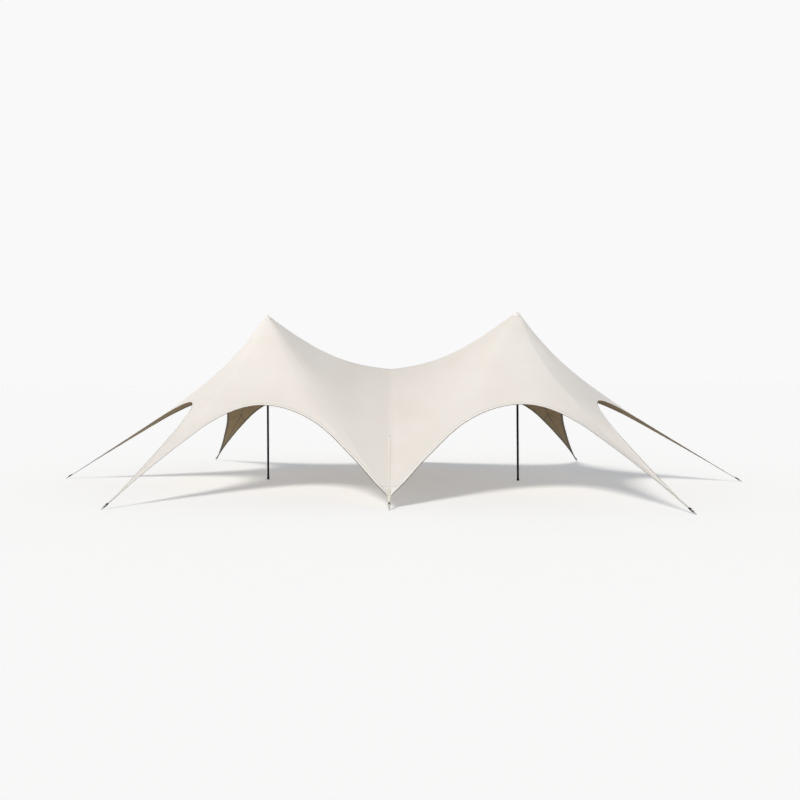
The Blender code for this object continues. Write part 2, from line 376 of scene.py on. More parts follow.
@dataclass(frozen=True)
class CoatedPolyester(Finish):
    """Plain-woven polyester with a polyurethane coat: dull, with a faint weave and soft mottling."""

    mottle: str = "#000000"
    mottle_from: float = 0.35       # noise at which the mottling starts
    mottle_full: float = 0.7
    thread: float = 1.2 * MM        # drawn twice as coarse as the real 0.6 mm, so that it shows close up
    cloud: float = 1.4              # size of the soft patches left by coating and handling
    relief: float = 0.1 * MM
    relief_strength: float = 0.3
    sheen: float = 0.12
    gloss: float = 0.35

    def surface(self, tree: Tree, shader: Node) -> None:
        """Add crossing threads on the UV map, which is in metres, over patches on Object coordinates.

        Args:
            tree: The material's node tree.
            shader: Its shader.
        """
        place = add_node(tree, "TexCoord").outputs
        patches = add_node(tree, "TexNoise", {
            "Vector": place["Object"], "Scale": 1.0 / self.cloud, "Detail": 3.0, "Roughness": 0.55})
        share = add_node(tree, "MapRange", {
            "Value": patches, "From Min": self.mottle_from, "From Max": self.mottle_full})
        add_node(tree, "Mix", {"Factor": share, "A": linear(self.colour), "B": linear(self.mottle)},
                 shader.inputs["Base Color"], data_type="RGBA")
        threads = [
            add_node(tree, "TexWave", {"Vector": place["UV"], "Scale": WAVE / self.thread, "Distortion": 0.0},
                     wave_type="BANDS", bands_direction=direction, wave_profile="SIN")
            for direction in "XY"]
        weave = add_node(tree, "Math", dict(enumerate(threads)), operation="MULTIPLY")
        add_node(tree, "Bump", {"Height": weave, "Distance": self.relief, "Strength": self.relief_strength},
                 shader.inputs["Normal"])
        set_inputs(shader, {
            "Sheen Weight": self.sheen, "Sheen Roughness": 0.5, "Specular IOR Level": self.gloss})


@dataclass(frozen=True)
class WovenWebbing(Finish):
    """Flat polyester webbing: ribs across it and a row of stitches beside each edge."""

    stitch: str = "#ffffff"
    rib: float = 2.5 * MM
    rib_height: float = 0.5         # where a stitch's is one
    stitch_row: float = 4.5 * MM    # from an edge
    stitch_width: float = 1.4 * MM
    stitch_step: float = 3.2 * MM
    stitch_gap: float = 0.3         # of the step
    relief: float = 0.5 * MM
    relief_strength: float = 0.6
    sheen: float = 0.15

    def surface(self, tree: Tree, shader: Node) -> None:
        """Add ribs and stitches. U is the way along, and V the way in from an edge, both in metres.

        Args:
            tree: The material's node tree.
            shader: Its shader.
        """
        place = add_node(tree, "TexCoord").outputs["UV"]
        along, inward, _ = add_node(tree, "SeparateXYZ", {0: place}).outputs
        ribs = add_node(
            tree, "TexWave", {"Vector": place, "Scale": WAVE / self.rib, "Distortion": 0.0},
            wave_type="BANDS", bands_direction="X", wave_profile="SIN")
        on_row = add_node(tree, "Math", {0: inward, 1: self.stitch_row, 2: 0.5 * self.stitch_width},
                          operation="COMPARE")
        step = add_node(tree, "Math", {0: along, 1: self.stitch_step}, operation="PINGPONG")
        on_thread = add_node(tree, "Math", {0: step, 1: self.stitch_gap * self.stitch_step},
                             operation="GREATER_THAN")
        stitches = add_node(tree, "Math", {0: on_row, 1: on_thread}, operation="MULTIPLY")
        add_node(tree, "Mix", {"Factor": stitches, "A": linear(self.colour), "B": linear(self.stitch)},
                 shader.inputs["Base Color"], data_type="RGBA")
        height = add_node(tree, "Math", {0: ribs, 1: self.rib_height, 2: stitches}, operation="MULTIPLY_ADD")
        add_node(tree, "Bump", {"Height": height, "Distance": self.relief, "Strength": self.relief_strength},
                 shader.inputs["Normal"])
        set_inputs(shader, {"Sheen Weight": self.sheen})


@dataclass(frozen=True)
class PowderCoat(Finish):
    """Powder coat on steel: an even satin skin with a fine orange peel and dust low down."""

    peel: float = 1.5 * MM
    speck: float = 50.0 / 3.0 * MM  # size of the specks of dust
    dust: str = "#37342f"
    dust_share: float = 0.55        # at the ground
    dust_top: float = 0.35
    relief: float = 0.08 * MM
    relief_strength: float = 0.25
    gloss: float = 0.2

    def surface(self, tree: Tree, shader: Node) -> None:
        """Add orange peel as fine noise, and dust that thins out with height.

        Args:
            tree: The material's node tree.
            shader: Its shader.
        """
        place = add_node(tree, "TexCoord").outputs["Object"]
        peel = add_node(tree, "TexNoise", {"Vector": place, "Scale": 1.0 / self.peel, "Detail": 1.0})
        add_node(tree, "Bump", {"Height": peel, "Distance": self.relief, "Strength": self.relief_strength},
                 shader.inputs["Normal"])
        height = add_node(tree, "SeparateXYZ", {0: place}).outputs["Z"]
        low = add_node(tree, "MapRange", {
            "Value": height, "From Max": self.dust_top, "To Min": self.dust_share, "To Max": 0.0})
        specks = add_node(tree, "TexNoise", {"Vector": place, "Scale": 1.0 / self.speck, "Detail": 4.0})
        share = add_node(tree, "Math", {0: low, 1: specks}, operation="MULTIPLY")
        add_node(tree, "Mix", {"Factor": share, "A": linear(self.colour), "B": linear(self.dust)},
                 shader.inputs["Base Color"], data_type="RGBA")
        set_inputs(shader, {"Specular IOR Level": self.gloss})


@dataclass(frozen=True)
class MouldedRubber(Finish):
    """Moulded rubber: matte black with a fine grain."""

    grain: float = 0.8 * MM
    relief: float = 0.1 * MM
    relief_strength: float = 0.6
    gloss: float = 0.4

    def surface(self, tree: Tree, shader: Node) -> None:
        """Add grain as fine noise.

        Args:
            tree: The material's node tree.
            shader: Its shader.
        """
        place = add_node(tree, "TexCoord").outputs["Object"]
        grain = add_node(tree, "TexNoise", {"Vector": place, "Scale": 1.0 / self.grain, "Detail": 2.0})
        add_node(tree, "Bump", {"Height": grain, "Distance": self.relief, "Strength": self.relief_strength},
                 shader.inputs["Normal"])
        set_inputs(shader, {"Specular IOR Level": self.gloss})


@dataclass(frozen=True)
class PlatedSteel(Finish):
    """Steel with a thin plating or blackening, cloudy and a little scuffed."""

    worn: str = "#8f8f8c"
    scuff: float = 50.0 / 7.0 * MM
    wear: float = 0.62              # noise above this is scuffed
    wear_edge: float = 0.08         # over which a scuff fades
    smoother: float = 0.1           # how far the roughness falls and rises with the noise
    rougher: float = 0.15
    relief: float = 0.08 * MM
    relief_strength: float = 0.4
    metal: float = 1.0

    def surface(self, tree: Tree, shader: Node) -> None:
        """Add scuffs where a noise peaks, with rougher metal beside them.

        Args:
            tree: The material's node tree.
            shader: Its shader.
        """
        place = add_node(tree, "TexCoord").outputs["Object"]
        scuffs = add_node(tree, "TexNoise", {
            "Vector": place, "Scale": 1.0 / self.scuff, "Detail": 5.0, "Roughness": 0.6})
        share = add_node(tree, "MapRange", {
            "Value": scuffs, "From Min": self.wear, "From Max": self.wear + self.wear_edge})
        add_node(tree, "Mix", {"Factor": share, "A": linear(self.colour), "B": linear(self.worn)},
                 shader.inputs["Base Color"], data_type="RGBA")
        ends = {"To Min": self.roughness - self.smoother, "To Max": self.roughness + self.rougher}
        add_node(tree, "MapRange", {"Value": scuffs, **ends}, shader.inputs["Roughness"])
        add_node(tree, "Bump", {"Height": scuffs, "Distance": self.relief, "Strength": self.relief_strength},
                 shader.inputs["Normal"])
        set_inputs(shader, {"Metallic": self.metal})


class Look(Enum):
    """Every finish on the tent."""

    OUTER_CLOTH = CoatedPolyester("coated_polyester_cream", "#efe9e2", 0.78, mottle="#ebe4dc")
    LINING = CoatedPolyester("coated_lining_khaki", "#8b775a", 0.62, mottle="#827052", cloud=0.7,
                             sheen=0.0, gloss=0.1)
    TIP_PATCH = CoatedPolyester("coated_tip_patch_white", "#f1ebe4", 0.55, mottle="#f1ede6", cloud=0.4)
    # Cream hem webbing, drawn a little whiter than the cloth, partly as a painted highlight along the hems;
    # the felled seams take it too.
    HEM_WEBBING_AND_PAINTED_HIGHLIGHT = WovenWebbing("woven_hem_cream", "#f3eee7", 0.8, stitch="#d8d0c2")
    CAP_CLOTH = WovenWebbing("woven_cap_cloth_cream", "#efe9e2", 0.78, stitch="#cfc5b6", rib=1.5 * MM)
    # Painted shade: the lining side of each tip patch is drawn far darker than the khaki lining, so that the
    # arms' undersides look shaded.
    TIP_LINING_PAINTED_SHADE = CoatedPolyester("coated_tip_lining_dark", "#453f33", 0.62, mottle="#3d382e", cloud=0.4,
                                 sheen=0.0, gloss=0.1)
    # Khaki binding, darkened as painted shade on the hems' inner faces, the seam tapes and the cloth's cut
    # edge.
    KHAKI_BINDING_AND_PAINTED_SHADE = WovenWebbing("woven_binding_khaki", "#594d3a", 0.85, stitch="#463c2a")
    PULL_WEBBING = WovenWebbing("woven_pull_webbing_ivory", "#e4ddcf", 0.85, stitch="#b9ae9b")
    # Painted shade: the pull webbing's back is drawn charcoal, so that the straps' undersides look shaded.
    PULL_BACKING_PAINTED_SHADE = WovenWebbing("woven_pull_backing_charcoal", "#2b2924", 0.85, stitch="#45413a")
    MAST = PowderCoat("powder_coated_mast_black", "#141312", 0.55)
    RUBBER = MouldedRubber("moulded_rubber_black", "#171615", 0.7)
    RATCHET = PlatedSteel("blackened_ratchet_steel", "#1b1b1c", 0.42, metal=0.7)
    ZINC = PlatedSteel("zinc_plated_steel", "#a9a9a6", 0.36, worn="#7c7b77", wear=0.55)

    def material(self) -> bpy.types.Material:
        """The finish's material, made once."""
        return bpy.data.materials.get(self.value.name) or self.value.build()


def dress(piece: Piece, *looks: Look) -> Piece:
    """Give a piece its finishes.

    Args:
        piece: The piece.
        *looks: The finishes, in the order of its material slots.

    Returns:
        The piece.
    """
    for look in looks:
        piece.data.materials.append(look.material())
    return piece


# Form of the canopy

@dataclass(frozen=True)
class Arm:
    """One kind of arm, in the quarter of the tent at +X +Y."""

    seam: int               # the net's thread that runs down the arm
    anchor: Vector
    strap_pull: float
    tip_cut: float          # from the net's tip back to the end of the cloth


@dataclass(frozen=True)
class NetForm:
    """The canopy as a net of threads in balance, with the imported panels' own sizes and pulls."""

    peak_height: float = 4.296          # lining face of the peak cap's point
    mast_x: float = 3.2
    arm_reach: float = 5.45
    corner_angle: float = math.radians(62.0)
    middle_reach: float = 4.62
    peak_ring_radius: float = 0.042
    peak_ring_drop: float = 0.045
    rings: int = 16
    end_threads: int = 12
    side_threads: int = 12
    middle_threads: int = 8
    ring_pull_at_peak: float = 2.4
    ring_pull_at_hem: float = 0.21
    end_hem_pull: float = 0.19
    side_hem_pull: float = 0.04
    hem_pull_growth: float = 2.5        # towards the tips
    hem_pull_power: int = 4
    centre_pull: float = 2.6
    end_seam_pull: float = 3.0
    corner_seam_pull: float = 4.0
    middle_seam_pull: float = 60.0
    ridge_pull: float = 22.0
    end_strap_pull: float = 16.5
    corner_strap_pull: float = 15.0
    middle_strap_pull: float = 175.0
    long_tip_cut: float = 0.20
    short_tip_cut: float = 0.035

    @property
    def corner(self) -> int:
        """Thread of the corner arm's seam."""
        return self.end_threads

    @property
    def middle(self) -> int:
        """Thread of the middle arm's seam."""
        return self.corner + self.side_threads

    @property
    def ridge(self) -> int:
        """Thread of the ridge between the masts."""
        return self.middle + self.middle_threads

    @property
    def arms(self) -> tuple[Arm, Arm, Arm]:
        """Every kind of arm.

        Returns:
            The end arm, the corner arm and the middle arm.
        """
        end = Vector((self.mast_x + self.arm_reach, 0.0, 0.0))
        corner = Vector((self.mast_x + self.arm_reach * math.cos(self.corner_angle),
                         self.arm_reach * math.sin(self.corner_angle), 0.0))
        middle = Vector((0.0, self.middle_reach, 0.0))
        return (Arm(0, end, self.end_strap_pull, self.long_tip_cut),
                Arm(self.corner, corner, self.corner_strap_pull, self.long_tip_cut),
                Arm(self.middle, middle, self.middle_strap_pull, self.short_tip_cut))

    def peak_ring(self) -> np.ndarray:
        """Lay the first ring on the mast head.

        Returns:
            One point for each thread.
        """
        turns = np.concatenate([
            np.linspace(0.0, self.corner_angle, self.end_threads + 1),
            np.linspace(self.corner_angle, 2.0 * self.corner_angle, self.side_threads + 1)[1:],
            np.linspace(2.0 * self.corner_angle, math.pi, self.middle_threads + 1)[1:],
        ])
        across = self.mast_x + self.peak_ring_radius * np.cos(turns)
        back = self.peak_ring_radius * np.sin(turns)
        height = np.full_like(turns, self.peak_height - self.peak_ring_drop)
        return np.stack([across, back, height], axis=1)

    def outward_pull(self, thread: int) -> float:
        """Pull of an outward thread. One in a plane of symmetry belongs half to this quarter.

        Args:
            thread: Number of the thread.

        Returns:
            The pull.
        """
        pulls = {
            0: self.end_seam_pull / 2.0,
            self.corner: self.corner_seam_pull,
            self.middle: self.middle_seam_pull,
            self.ridge: self.ridge_pull / 2.0,
        }
        return pulls.get(thread, 1.0)

    def ring_pull(self, ring: int, thread: int) -> float:
        """Pull of a ring, the last of which is the hem, from one thread to the next.

        Args:
            ring: Number of the ring, from the peak.
            thread: Number of the thread that the stretch starts from.

        Returns:
            The pull.
        """
        if ring < self.rings:
            further = self.ring_pull_at_hem - self.ring_pull_at_peak
            return self.ring_pull_at_peak + further * ring / self.rings
        if thread >= self.middle:
            return self.centre_pull / 2.0
        if thread >= self.corner:
            pull, share = self.side_hem_pull, (thread + 0.5 - self.corner) / self.side_threads
        else:
            pull, share = self.end_hem_pull, (thread + 0.5) / self.end_threads
        return pull * (1.0 + self.hem_pull_growth * abs(2.0 * share - 1.0) ** self.hem_pull_power)

    def nodes(self) -> np.ndarray:
        """Balance the net.

        Returns:
            The nodes as [ring, thread, xyz], for the quarter at +X +Y.
        """
        shape = (self.rings + 1, self.ridge + 1)
        count = shape[0] * shape[1]
        number = np.arange(count).reshape(shape)
        total = count + len(self.arms)
        places = np.zeros((total, 3))
        held = np.zeros((total, 3), dtype=bool)
        balance = np.zeros((total, total))

        def add_thread(one: int, other: int, pull: float) -> None:
            """Add one stretch of thread between two nodes."""
            balance[(one, other), (one, other)] += pull
            balance[(one, other), (other, one)] -= pull

        for ring in range(self.rings):
            for thread in range(self.ridge + 1):
                add_thread(number[ring, thread], number[ring + 1, thread], self.outward_pull(thread))
        for ring in range(1, self.rings + 1):
            for thread in range(self.ridge):
                add_thread(number[ring, thread], number[ring, thread + 1], self.ring_pull(ring, thread))
        for anchor, arm in enumerate(self.arms, start=count):
            places[anchor] = arm.anchor
            held[anchor] = True
            on_symmetry_plane = 0.0 in arm.anchor[:2]
            pull = arm.strap_pull / 2.0 if on_symmetry_plane else arm.strap_pull
            add_thread(number[self.rings, arm.seam], anchor, pull)

        places[number[0]] = self.peak_ring()
        held[number[0]] = True
        held[number[:, 0], 1] = True
        held[number[:, self.ridge], 1] = True
        held[number[self.rings, self.middle:], 0] = True
        for axis in range(3):
            free = np.flatnonzero(~held[:, axis])
            fixed = np.flatnonzero(held[:, axis])
            load = -balance[np.ix_(free, fixed)] @ places[fixed, axis]
            places[free, axis] = np.linalg.solve(balance[np.ix_(free, free)], load)
        return places[:count].reshape(*shape, 3)


def walked(points: np.ndarray, axis: int = 0) -> np.ndarray:
    """The way walked along one axis of a grid of points, from its start to each point."""
    steps = np.linalg.norm(np.diff(points, axis=axis), axis=-1)
    return np.concatenate([np.zeros_like(steps.take([0], axis)), np.cumsum(steps, axis)], axis)


def unit(arrows: np.ndarray) -> np.ndarray:
    """Arrows of length one."""
    return arrows / np.maximum(np.linalg.norm(arrows, axis=-1, keepdims=True), TINY)


def eased(value: np.ndarray, start: float, end: float) -> np.ndarray:
    """Rise smoothly from 0 at start to 1 at end."""
    share = np.clip((value - start) / (end - start), 0.0, 1.0)
    return share * share * (3.0 - 2.0 * share)


def curve_slopes(points: np.ndarray) -> np.ndarray:
    """Slopes of smooth curves through points, by the way along them, straight at their ends.

    Args:
        points: [along, line, xyz].

    Returns:
        One slope for each point.
    """
    steps = np.diff(points, axis=0)
    lengths = np.maximum(np.linalg.norm(steps, axis=-1, keepdims=True), TINY)
    chords = steps / lengths
    slopes = np.empty_like(points)
    slopes[1:-1] = (chords[:-1] * lengths[1:] + chords[1:] * lengths[:-1]) / (lengths[:-1] + lengths[1:])
    slopes[0] = 1.5 * chords[0] - 0.5 * slopes[1]
    slopes[-1] = 1.5 * chords[-1] - 0.5 * slopes[-2]
    return slopes


def drawn_finer(points: np.ndarray, slopes: np.ndarray, counts: Sequence[int]) -> np.ndarray:
    """Draw smooth curves through points in finer steps.

    Args:
        points: [along, line, xyz].
        slopes: The curves' slopes at the points.
        counts: The number of steps in each span between two points.

    Returns:
        The finer points, as [along, line, xyz].
    """
    rows = [points[:1]]
    for span, count in enumerate(counts):
        share = (np.arange(1, count + 1) / count)[:, None, None]
        length = np.linalg.norm(points[span + 1] - points[span], axis=-1, keepdims=True)
        start = (2.0 * share**3 - 3.0 * share**2 + 1.0) * points[span]
        leave = (share**3 - 2.0 * share**2 + share) * length * slopes[span]
        end = (3.0 * share**2 - 2.0 * share**3) * points[span + 1]
        arrive = (share**3 - share**2) * length * slopes[span + 1]
        rows.append(start + leave + end + arrive)
    return np.concatenate(rows)


def span_counts(line: np.ndarray, step: float, fewest: int, most: int) -> np.ndarray:
    """Choose the number of steps in each span of a line.

    Args:
        line: The line's points.
        step: The length that a step has at most, where the numbers allow it.
        fewest: The least number of steps in a span.
        most: The greatest number.

    Returns:
        The number of steps in each span.
    """
    lengths = np.linalg.norm(np.diff(line, axis=0), axis=-1)
    return np.clip(np.ceil(lengths / step).astype(int), fewest, most)


@dataclass
class Patch:
    """A fine grid of cloth between two seams, mirrored into its place in the tent."""

    name: str
    grid: np.ndarray        # [ring, thread, xyz] on the lining face
    signs: Pair

    @property
    def hem(self) -> np.ndarray:
        """The line of the outer edge."""
        return self.grid[-1]

    @property
    def words(self) -> tuple[str, str]:
        """The words for its side along X and along Y."""
        return X_WORDS[self.signs[0]], Y_WORDS[self.signs[1]]


@dataclass(frozen=True)
class ArmShape:
    """How an arm's cloth differs from the net. Its reach is the distance from the tip."""

    at_tip: float                   # let out to each side
    further: float
    grows: Pair                     # reach over which it changes to the second
    fades: Pair                     # reach over which it fades out
    trough: float                   # slope from the hem down to the seam
    beside: Pair = (0.8, 1.7)       # it fades out at these distances from the seam too
    narrowest: float = 5.0 * MM     # half width
    hem_line: Triple = (0.03, 0.085, 0.025)     # usual half width, by powers of the reach
    trough_fades: Pair = (1.8, 3.0)


@dataclass
class CanopyForm:
    """The canopy's fine surface, patch by patch."""

    net: NetForm = field(default_factory=NetForm)
    step: float = 0.085                 # along the hems
    step_counts: tuple[int, int] = (3, 9)
    ring_step: float = 0.16             # from a peak out
    ring_step_counts: tuple[int, int] = (2, 8)
    pleat_depth: float = 5.0 * MM       # of the folds that fan out below the peaks
    pleat_start: float = 0.12
    pleat_fade: float = 0.42            # over which they flatten out
    pleats: int = 4                     # in a patch
    centre_blend: int = 2               # threads from the middle arm over which the centre turns smooth
    soft_rings: Pair = (8.0, 14.5)      # a seam's crease appears between these rings
    soft_threads: float = 6.0
    soft_rounds: int = 6
    hem_depth: float = 0.7              # from a hem, over which its letting out fades
    end_let_out: Pair = (55.0 * MM, 0.5)        # of the hem: how much, and at which share of it
    front_let_out: Pair = (65.0 * MM, 0.62)
    rear_let_out: Pair = (-75.0 * MM, 0.42)     # the rear is pitched tighter
    long_arm: ArmShape = ArmShape(14.0 * MM, 40.0 * MM, (0.2, 1.4), (2.6, 4.2), 0.28)
    short_arm: ArmShape = ArmShape(6.0 * MM, 58.0 * MM, (0.0, 0.4), (1.0, 2.4), 0.0)

    def __post_init__(self) -> None:
        """Balance the net and choose how finely each span is drawn."""
        self.nodes = self.softened(self.net.nodes())
        across = self.nodes.transpose(1, 0, 2)
        mirrored = np.concatenate([across[1:2] * MIRROR_Y, across, across[-2:-1] * MIRROR_Y])
        # Slopes across the threads, as if no seam made a crease
        self.soft_slopes = curve_slopes(mirrored)[1:-1]
        self.ring_counts = span_counts(
            self.nodes[:, self.net.corner], self.ring_step, *self.ring_step_counts)
        self.patches = list(self.all_patches())

    def softened(self, nodes: np.ndarray) -> np.ndarray:
        """Round the middle arm's crease off in its upper part, over some threads to each side.

        Args:
            nodes: The net's nodes.

        Returns:
            The nodes with a softer crease.
        """
        nodes = nodes.copy()
        high = 1.0 - eased(np.arange(self.net.rings + 1), *self.soft_rings)
        from_seam = np.abs(np.arange(nodes.shape[1]) - self.net.middle)
        near = np.clip(1.0 - from_seam / self.soft_threads, 0.0, 1.0)
        weight = (high[:, None] * near)[:, 1:-1, None]
        for _ in range(self.soft_rounds):
            halfway = (nodes[:, :-2] + nodes[:, 2:]) / 2.0
            nodes[:, 1:-1] += weight * (halfway - nodes[:, 1:-1])
        return nodes

    def quarter(self, first: int, last: int, crosses_centre: bool = False) -> np.ndarray:
        """Draw a patch of the quarter at +X +Y.

        Args:
            first: The thread that it starts at.
            last: The thread that it ends at.
            crosses_centre: Whether the cloth goes on at its outer edge, across the tent's middle.

        Returns:
            The patch's grid.
        """
        coarse = self.nodes[:, first:last + 1].transpose(1, 0, 2)
        counts = span_counts(self.nodes[-1, first:last + 1], self.step, *self.step_counts)
        slopes = curve_slopes(coarse)
        crease = eased(np.arange(self.net.rings + 1), *self.soft_rings)[:, None]
        for end, thread in ((0, first), (-1, last)):
            slopes[end] = slopes[end] * crease + self.soft_slopes[thread] * (1.0 - crease)
        wide = drawn_finer(coarse, slopes, counts).transpose(1, 0, 2)
        slopes = curve_slopes(wide)
        if crosses_centre:
            level = unit(wide[-2] * MIRROR_X - wide[-2])
            reached = counts[:self.centre_blend].sum()
            share = eased(np.arange(len(level)), 0.0, reached)[:, None]
            slopes[-1] = slopes[-1] * (1.0 - share) + level * share
        return self.pleated(drawn_finer(wide, slopes, self.ring_counts))

    def pleated(self, grid: np.ndarray) -> np.ndarray:
        """Fan shallow folds out from the peak; they leave the seams where they are.

        Args:
            grid: A patch.

        Returns:
            The patch with its folds.
        """
        normal = unit(np.cross(np.gradient(grid, axis=1), np.gradient(grid, axis=0)))
        normal *= np.where(normal[..., 2:] < 0.0, -1.0, 1.0)
        share = np.linspace(0.0, 1.0, grid.shape[1])[None, :]
        distance = walked(grid)
        strength = np.minimum(distance / self.pleat_start, 1.0) * np.exp(-distance / self.pleat_fade)
        folds = np.sin(math.pi * self.pleats * share) ** 2
        return grid + normal * (self.pleat_depth * strength * folds)[..., None]

    def let_out(self, grid: np.ndarray, amount: float, place: float) -> np.ndarray:
        """Let a hem out, and less towards the tips.

        Args:
            grid: A patch with the hem as its last ring.
            amount: By how much, at most.
            place: The share of the hem's length where it is most.

        Returns:
            The patch with its hem let out.
        """
        hem = walked(grid[-1])
        most = np.sin(math.pi * (hem / hem[-1]) ** (math.log(0.5) / math.log(place))) ** 2
        share = (1.0 - eased(walked(grid[::-1])[::-1], 0.0, self.hem_depth)) * most
        return grid + unit(grid[-1] - grid[-3]) * (amount * share)[..., None]

    @staticmethod
    def pulled_arm(grid: np.ndarray, hem: np.ndarray, seam: np.ndarray, arm: Arm,
                   wider: ArmShape) -> np.ndarray:
        """Shape half of an arm: its hem is taut and straight, and a long arm's seam hangs lower.

        Args:
            grid: A patch on the arm, as [ring, thread, xyz].
            hem: The hem on this half of the arm, from the tip on.
            seam: The line that stays in its place, from the tip on.
            arm: The arm.
            wider: How much the arm's cloth is let out.

        Returns:
            The patch with the arm's half shaped.
        """
        tip = hem[0, :2]
        inward = unit(tip - np.array(arm.anchor)[:2])
        level = np.array((-inward[1], inward[0]))
        if (hem[len(hem) // 2, :2] - tip) @ level < 0.0:
            level = -level
        axes = np.stack([inward, level], axis=-1)
        still = ((seam[:, :2] - tip) @ axes).T

        def on_arm(points: np.ndarray) -> tuple[np.ndarray, np.ndarray]:
            """How far points are from the tip, and how far across from the seam."""
            reach, across = np.moveaxis((points[..., :2] - tip) @ axes, -1, 0)
            return reach, across - np.interp(reach, *still)

        reach, across = on_arm(grid)
        hem_reach, hem_across = on_arm(hem)
        turn = int(np.argmax(np.diff(hem_reach) <= 0.0)) or len(hem_reach)
        half_width = np.interp(reach, hem_reach[:turn], hem_across[:turn])
        out = wider.at_tip + (wider.further - wider.at_tip) * eased(reach, *wider.grows)
        out *= (1.0 - eased(reach, *wider.fades)) * (1.0 - eased(across, *wider.beside))
        out *= np.clip(across / np.maximum(half_width, wider.narrowest), 0.0, 1.0)
        usual = np.polynomial.polynomial.polyval(reach, wider.hem_line)
        lower = wider.trough * np.maximum(0.0, usual - across) * (1.0 - eased(reach, *wider.trough_fades))
        shaped = grid.copy()
        shaped[..., :2] += out[..., None] * level
        shaped[..., 2] -= np.where(reach > 0.0, lower, 0.0)
        return shaped

    def shaped_quarter(self, side_let_out: Pair) -> Iterator[np.ndarray]:
        """Draw a quarter of the canopy, at +X +Y.

        Args:
            side_let_out: How much its side hem is let out, and at which share of its length.

        Returns:
            The end, side and middle patch.
        """
        end_arm, corner_arm, middle_arm = self.net.arms
        end = self.let_out(self.quarter(0, self.net.corner), *self.end_let_out)
        side = self.let_out(self.quarter(self.net.corner, self.net.middle), *side_let_out)
        middle = self.quarter(self.net.middle, self.net.ridge, True)
        end = self.pulled_arm(end, end[-1], end[::-1, 0], end_arm, self.long_arm)
        yield self.pulled_arm(end, end[-1, ::-1], end[::-1, -1], corner_arm, self.long_arm)
        side = self.pulled_arm(side, side[-1], side[::-1, 0], corner_arm, self.long_arm)
        edge, line = side[-1, ::-1].copy(), middle[-1]
        for grid in (side, middle):
            yield self.pulled_arm(grid, edge, line, middle_arm, self.short_arm)

    def all_patches(self) -> Iterator[Patch]:
        """Mirror the quarters' patches into their places.

        Returns:
            Every patch of the canopy. A middle panel comes in two halves.
        """
        for y_sign, y_word in Y_WORDS.items():
            grids = list(self.shaped_quarter(self.front_let_out if y_sign == FRONT else self.rear_let_out))
            for x_sign, x_word in X_WORDS.items():
                names = (f"{x_word}_end_{y_word}", f"{y_word}_{x_word}", f"{y_word}_middle_{x_word}")
                for name, grid in zip(names, grids):
                    yield Patch(name, grid * (x_sign, y_sign, 1.0), (x_sign, y_sign))

    def arms(self) -> Iterator["PlacedArm"]:
        """Mirror the arms into their places.

        Returns:
            Every arm.
        """
        end, corner, middle = self.net.arms
        for x_sign, x_word in X_WORDS.items():
            yield PlacedArm.of(f"{x_word}_end", end, self.nodes, (x_sign, 1.0))
            for y_sign, y_word in Y_WORDS.items():
                yield PlacedArm.of(f"{y_word}_{x_word}", corner, self.nodes, (x_sign, y_sign))
        for y_sign, y_word in Y_WORDS.items():
            yield PlacedArm.of(f"{y_word}_middle", middle, self.nodes, (1.0, y_sign))


@dataclass
class PlacedArm:
    """An arm in its place: its anchor's foot, the net's tip and where its cloth ends."""

    name: str
    anchor: Vector
    tip: Vector
    tip_cut: float

    @classmethod
    def of(cls, name: str, arm: Arm, nodes: np.ndarray, signs: Pair) -> "PlacedArm":
        """Mirror an arm of the quarter at +X +Y into its place.

        Args:
            name: Name of the arm.
            arm: Its kind.
            nodes: The net's nodes.
            signs: The signs of its place along X and Y.

        Returns:
            The arm in its place.
        """
        mirror = np.array((*signs, 1.0))
        return cls(name, Vector(np.array(arm.anchor) * mirror), Vector(nodes[-1, arm.seam] * mirror),
                   arm.tip_cut)

    @property
    def is_middle(self) -> bool:
        """Whether the arm is one of the two between the masts."""
        return "middle" in self.name

    @property
    def line(self) -> Vector:
        """Direction up the strap."""
        return (self.tip - self.anchor).normalized()

    @property
    def level(self) -> Vector:
        """Level direction across the strap."""
        return UP.cross(self.line).normalized()

    @property
    def cloth_start(self) -> float:
        """How far up the line the cloth starts, from the anchor's foot."""
        return (self.tip - self.anchor).length + self.tip_cut

    @property
    def frame(self) -> Matrix:
        """The arm's frame.

        Returns:
            A frame at the anchor's foot: +X up the strap, +Y level, +Z up from it.
        """
        axes = Matrix((self.line, self.level, self.line.cross(self.level))).transposed().to_4x4()
        axes.translation = self.anchor
        return axes

    def reach(self, point: Sequence[float]) -> float:
        """How far up the line a point lies, from the anchor's foot."""
        return (Vector(point) - self.anchor).dot(self.line)

    def aside(self, point: Sequence[float]) -> float:
        """How far a point lies from the upright plane through the line."""
        return abs((Vector(point) - self.anchor).dot(self.level))

    def trimmed(self, line: Sequence[Sequence[float]]) -> list[Vector]:
        """Leave out what part of a line near this arm lies beyond the end of the cloth.

        Args:
            line: The line's points.

        Returns:
            The rest of the line.
        """
        path = [Vector(point) for point in line]
        inside = [self.reach(point) - self.cloth_start for point in path]
        kept = []
        for number, point in enumerate(path):
            if inside[number] >= 0.0:
                kept.append(point)
            if number + 1 < len(path) and inside[number] * inside[number + 1] < 0.0:
                share = inside[number] / (inside[number] - inside[number + 1])
                kept.append(point.lerp(path[number + 1], share))
        return kept


# Canopy

@dataclass
class ClothFace:
    """The lining face of the finished sheet, on which all that is sewn to it lies."""

    tree: BVHTree

    def at(self, near: Vector) -> tuple[Vector, Vector]:
        """The nearest point of the cloth and the direction out of the tent there."""
        place, normal, _, _ = self.tree.find_nearest(near)
        return place, normal


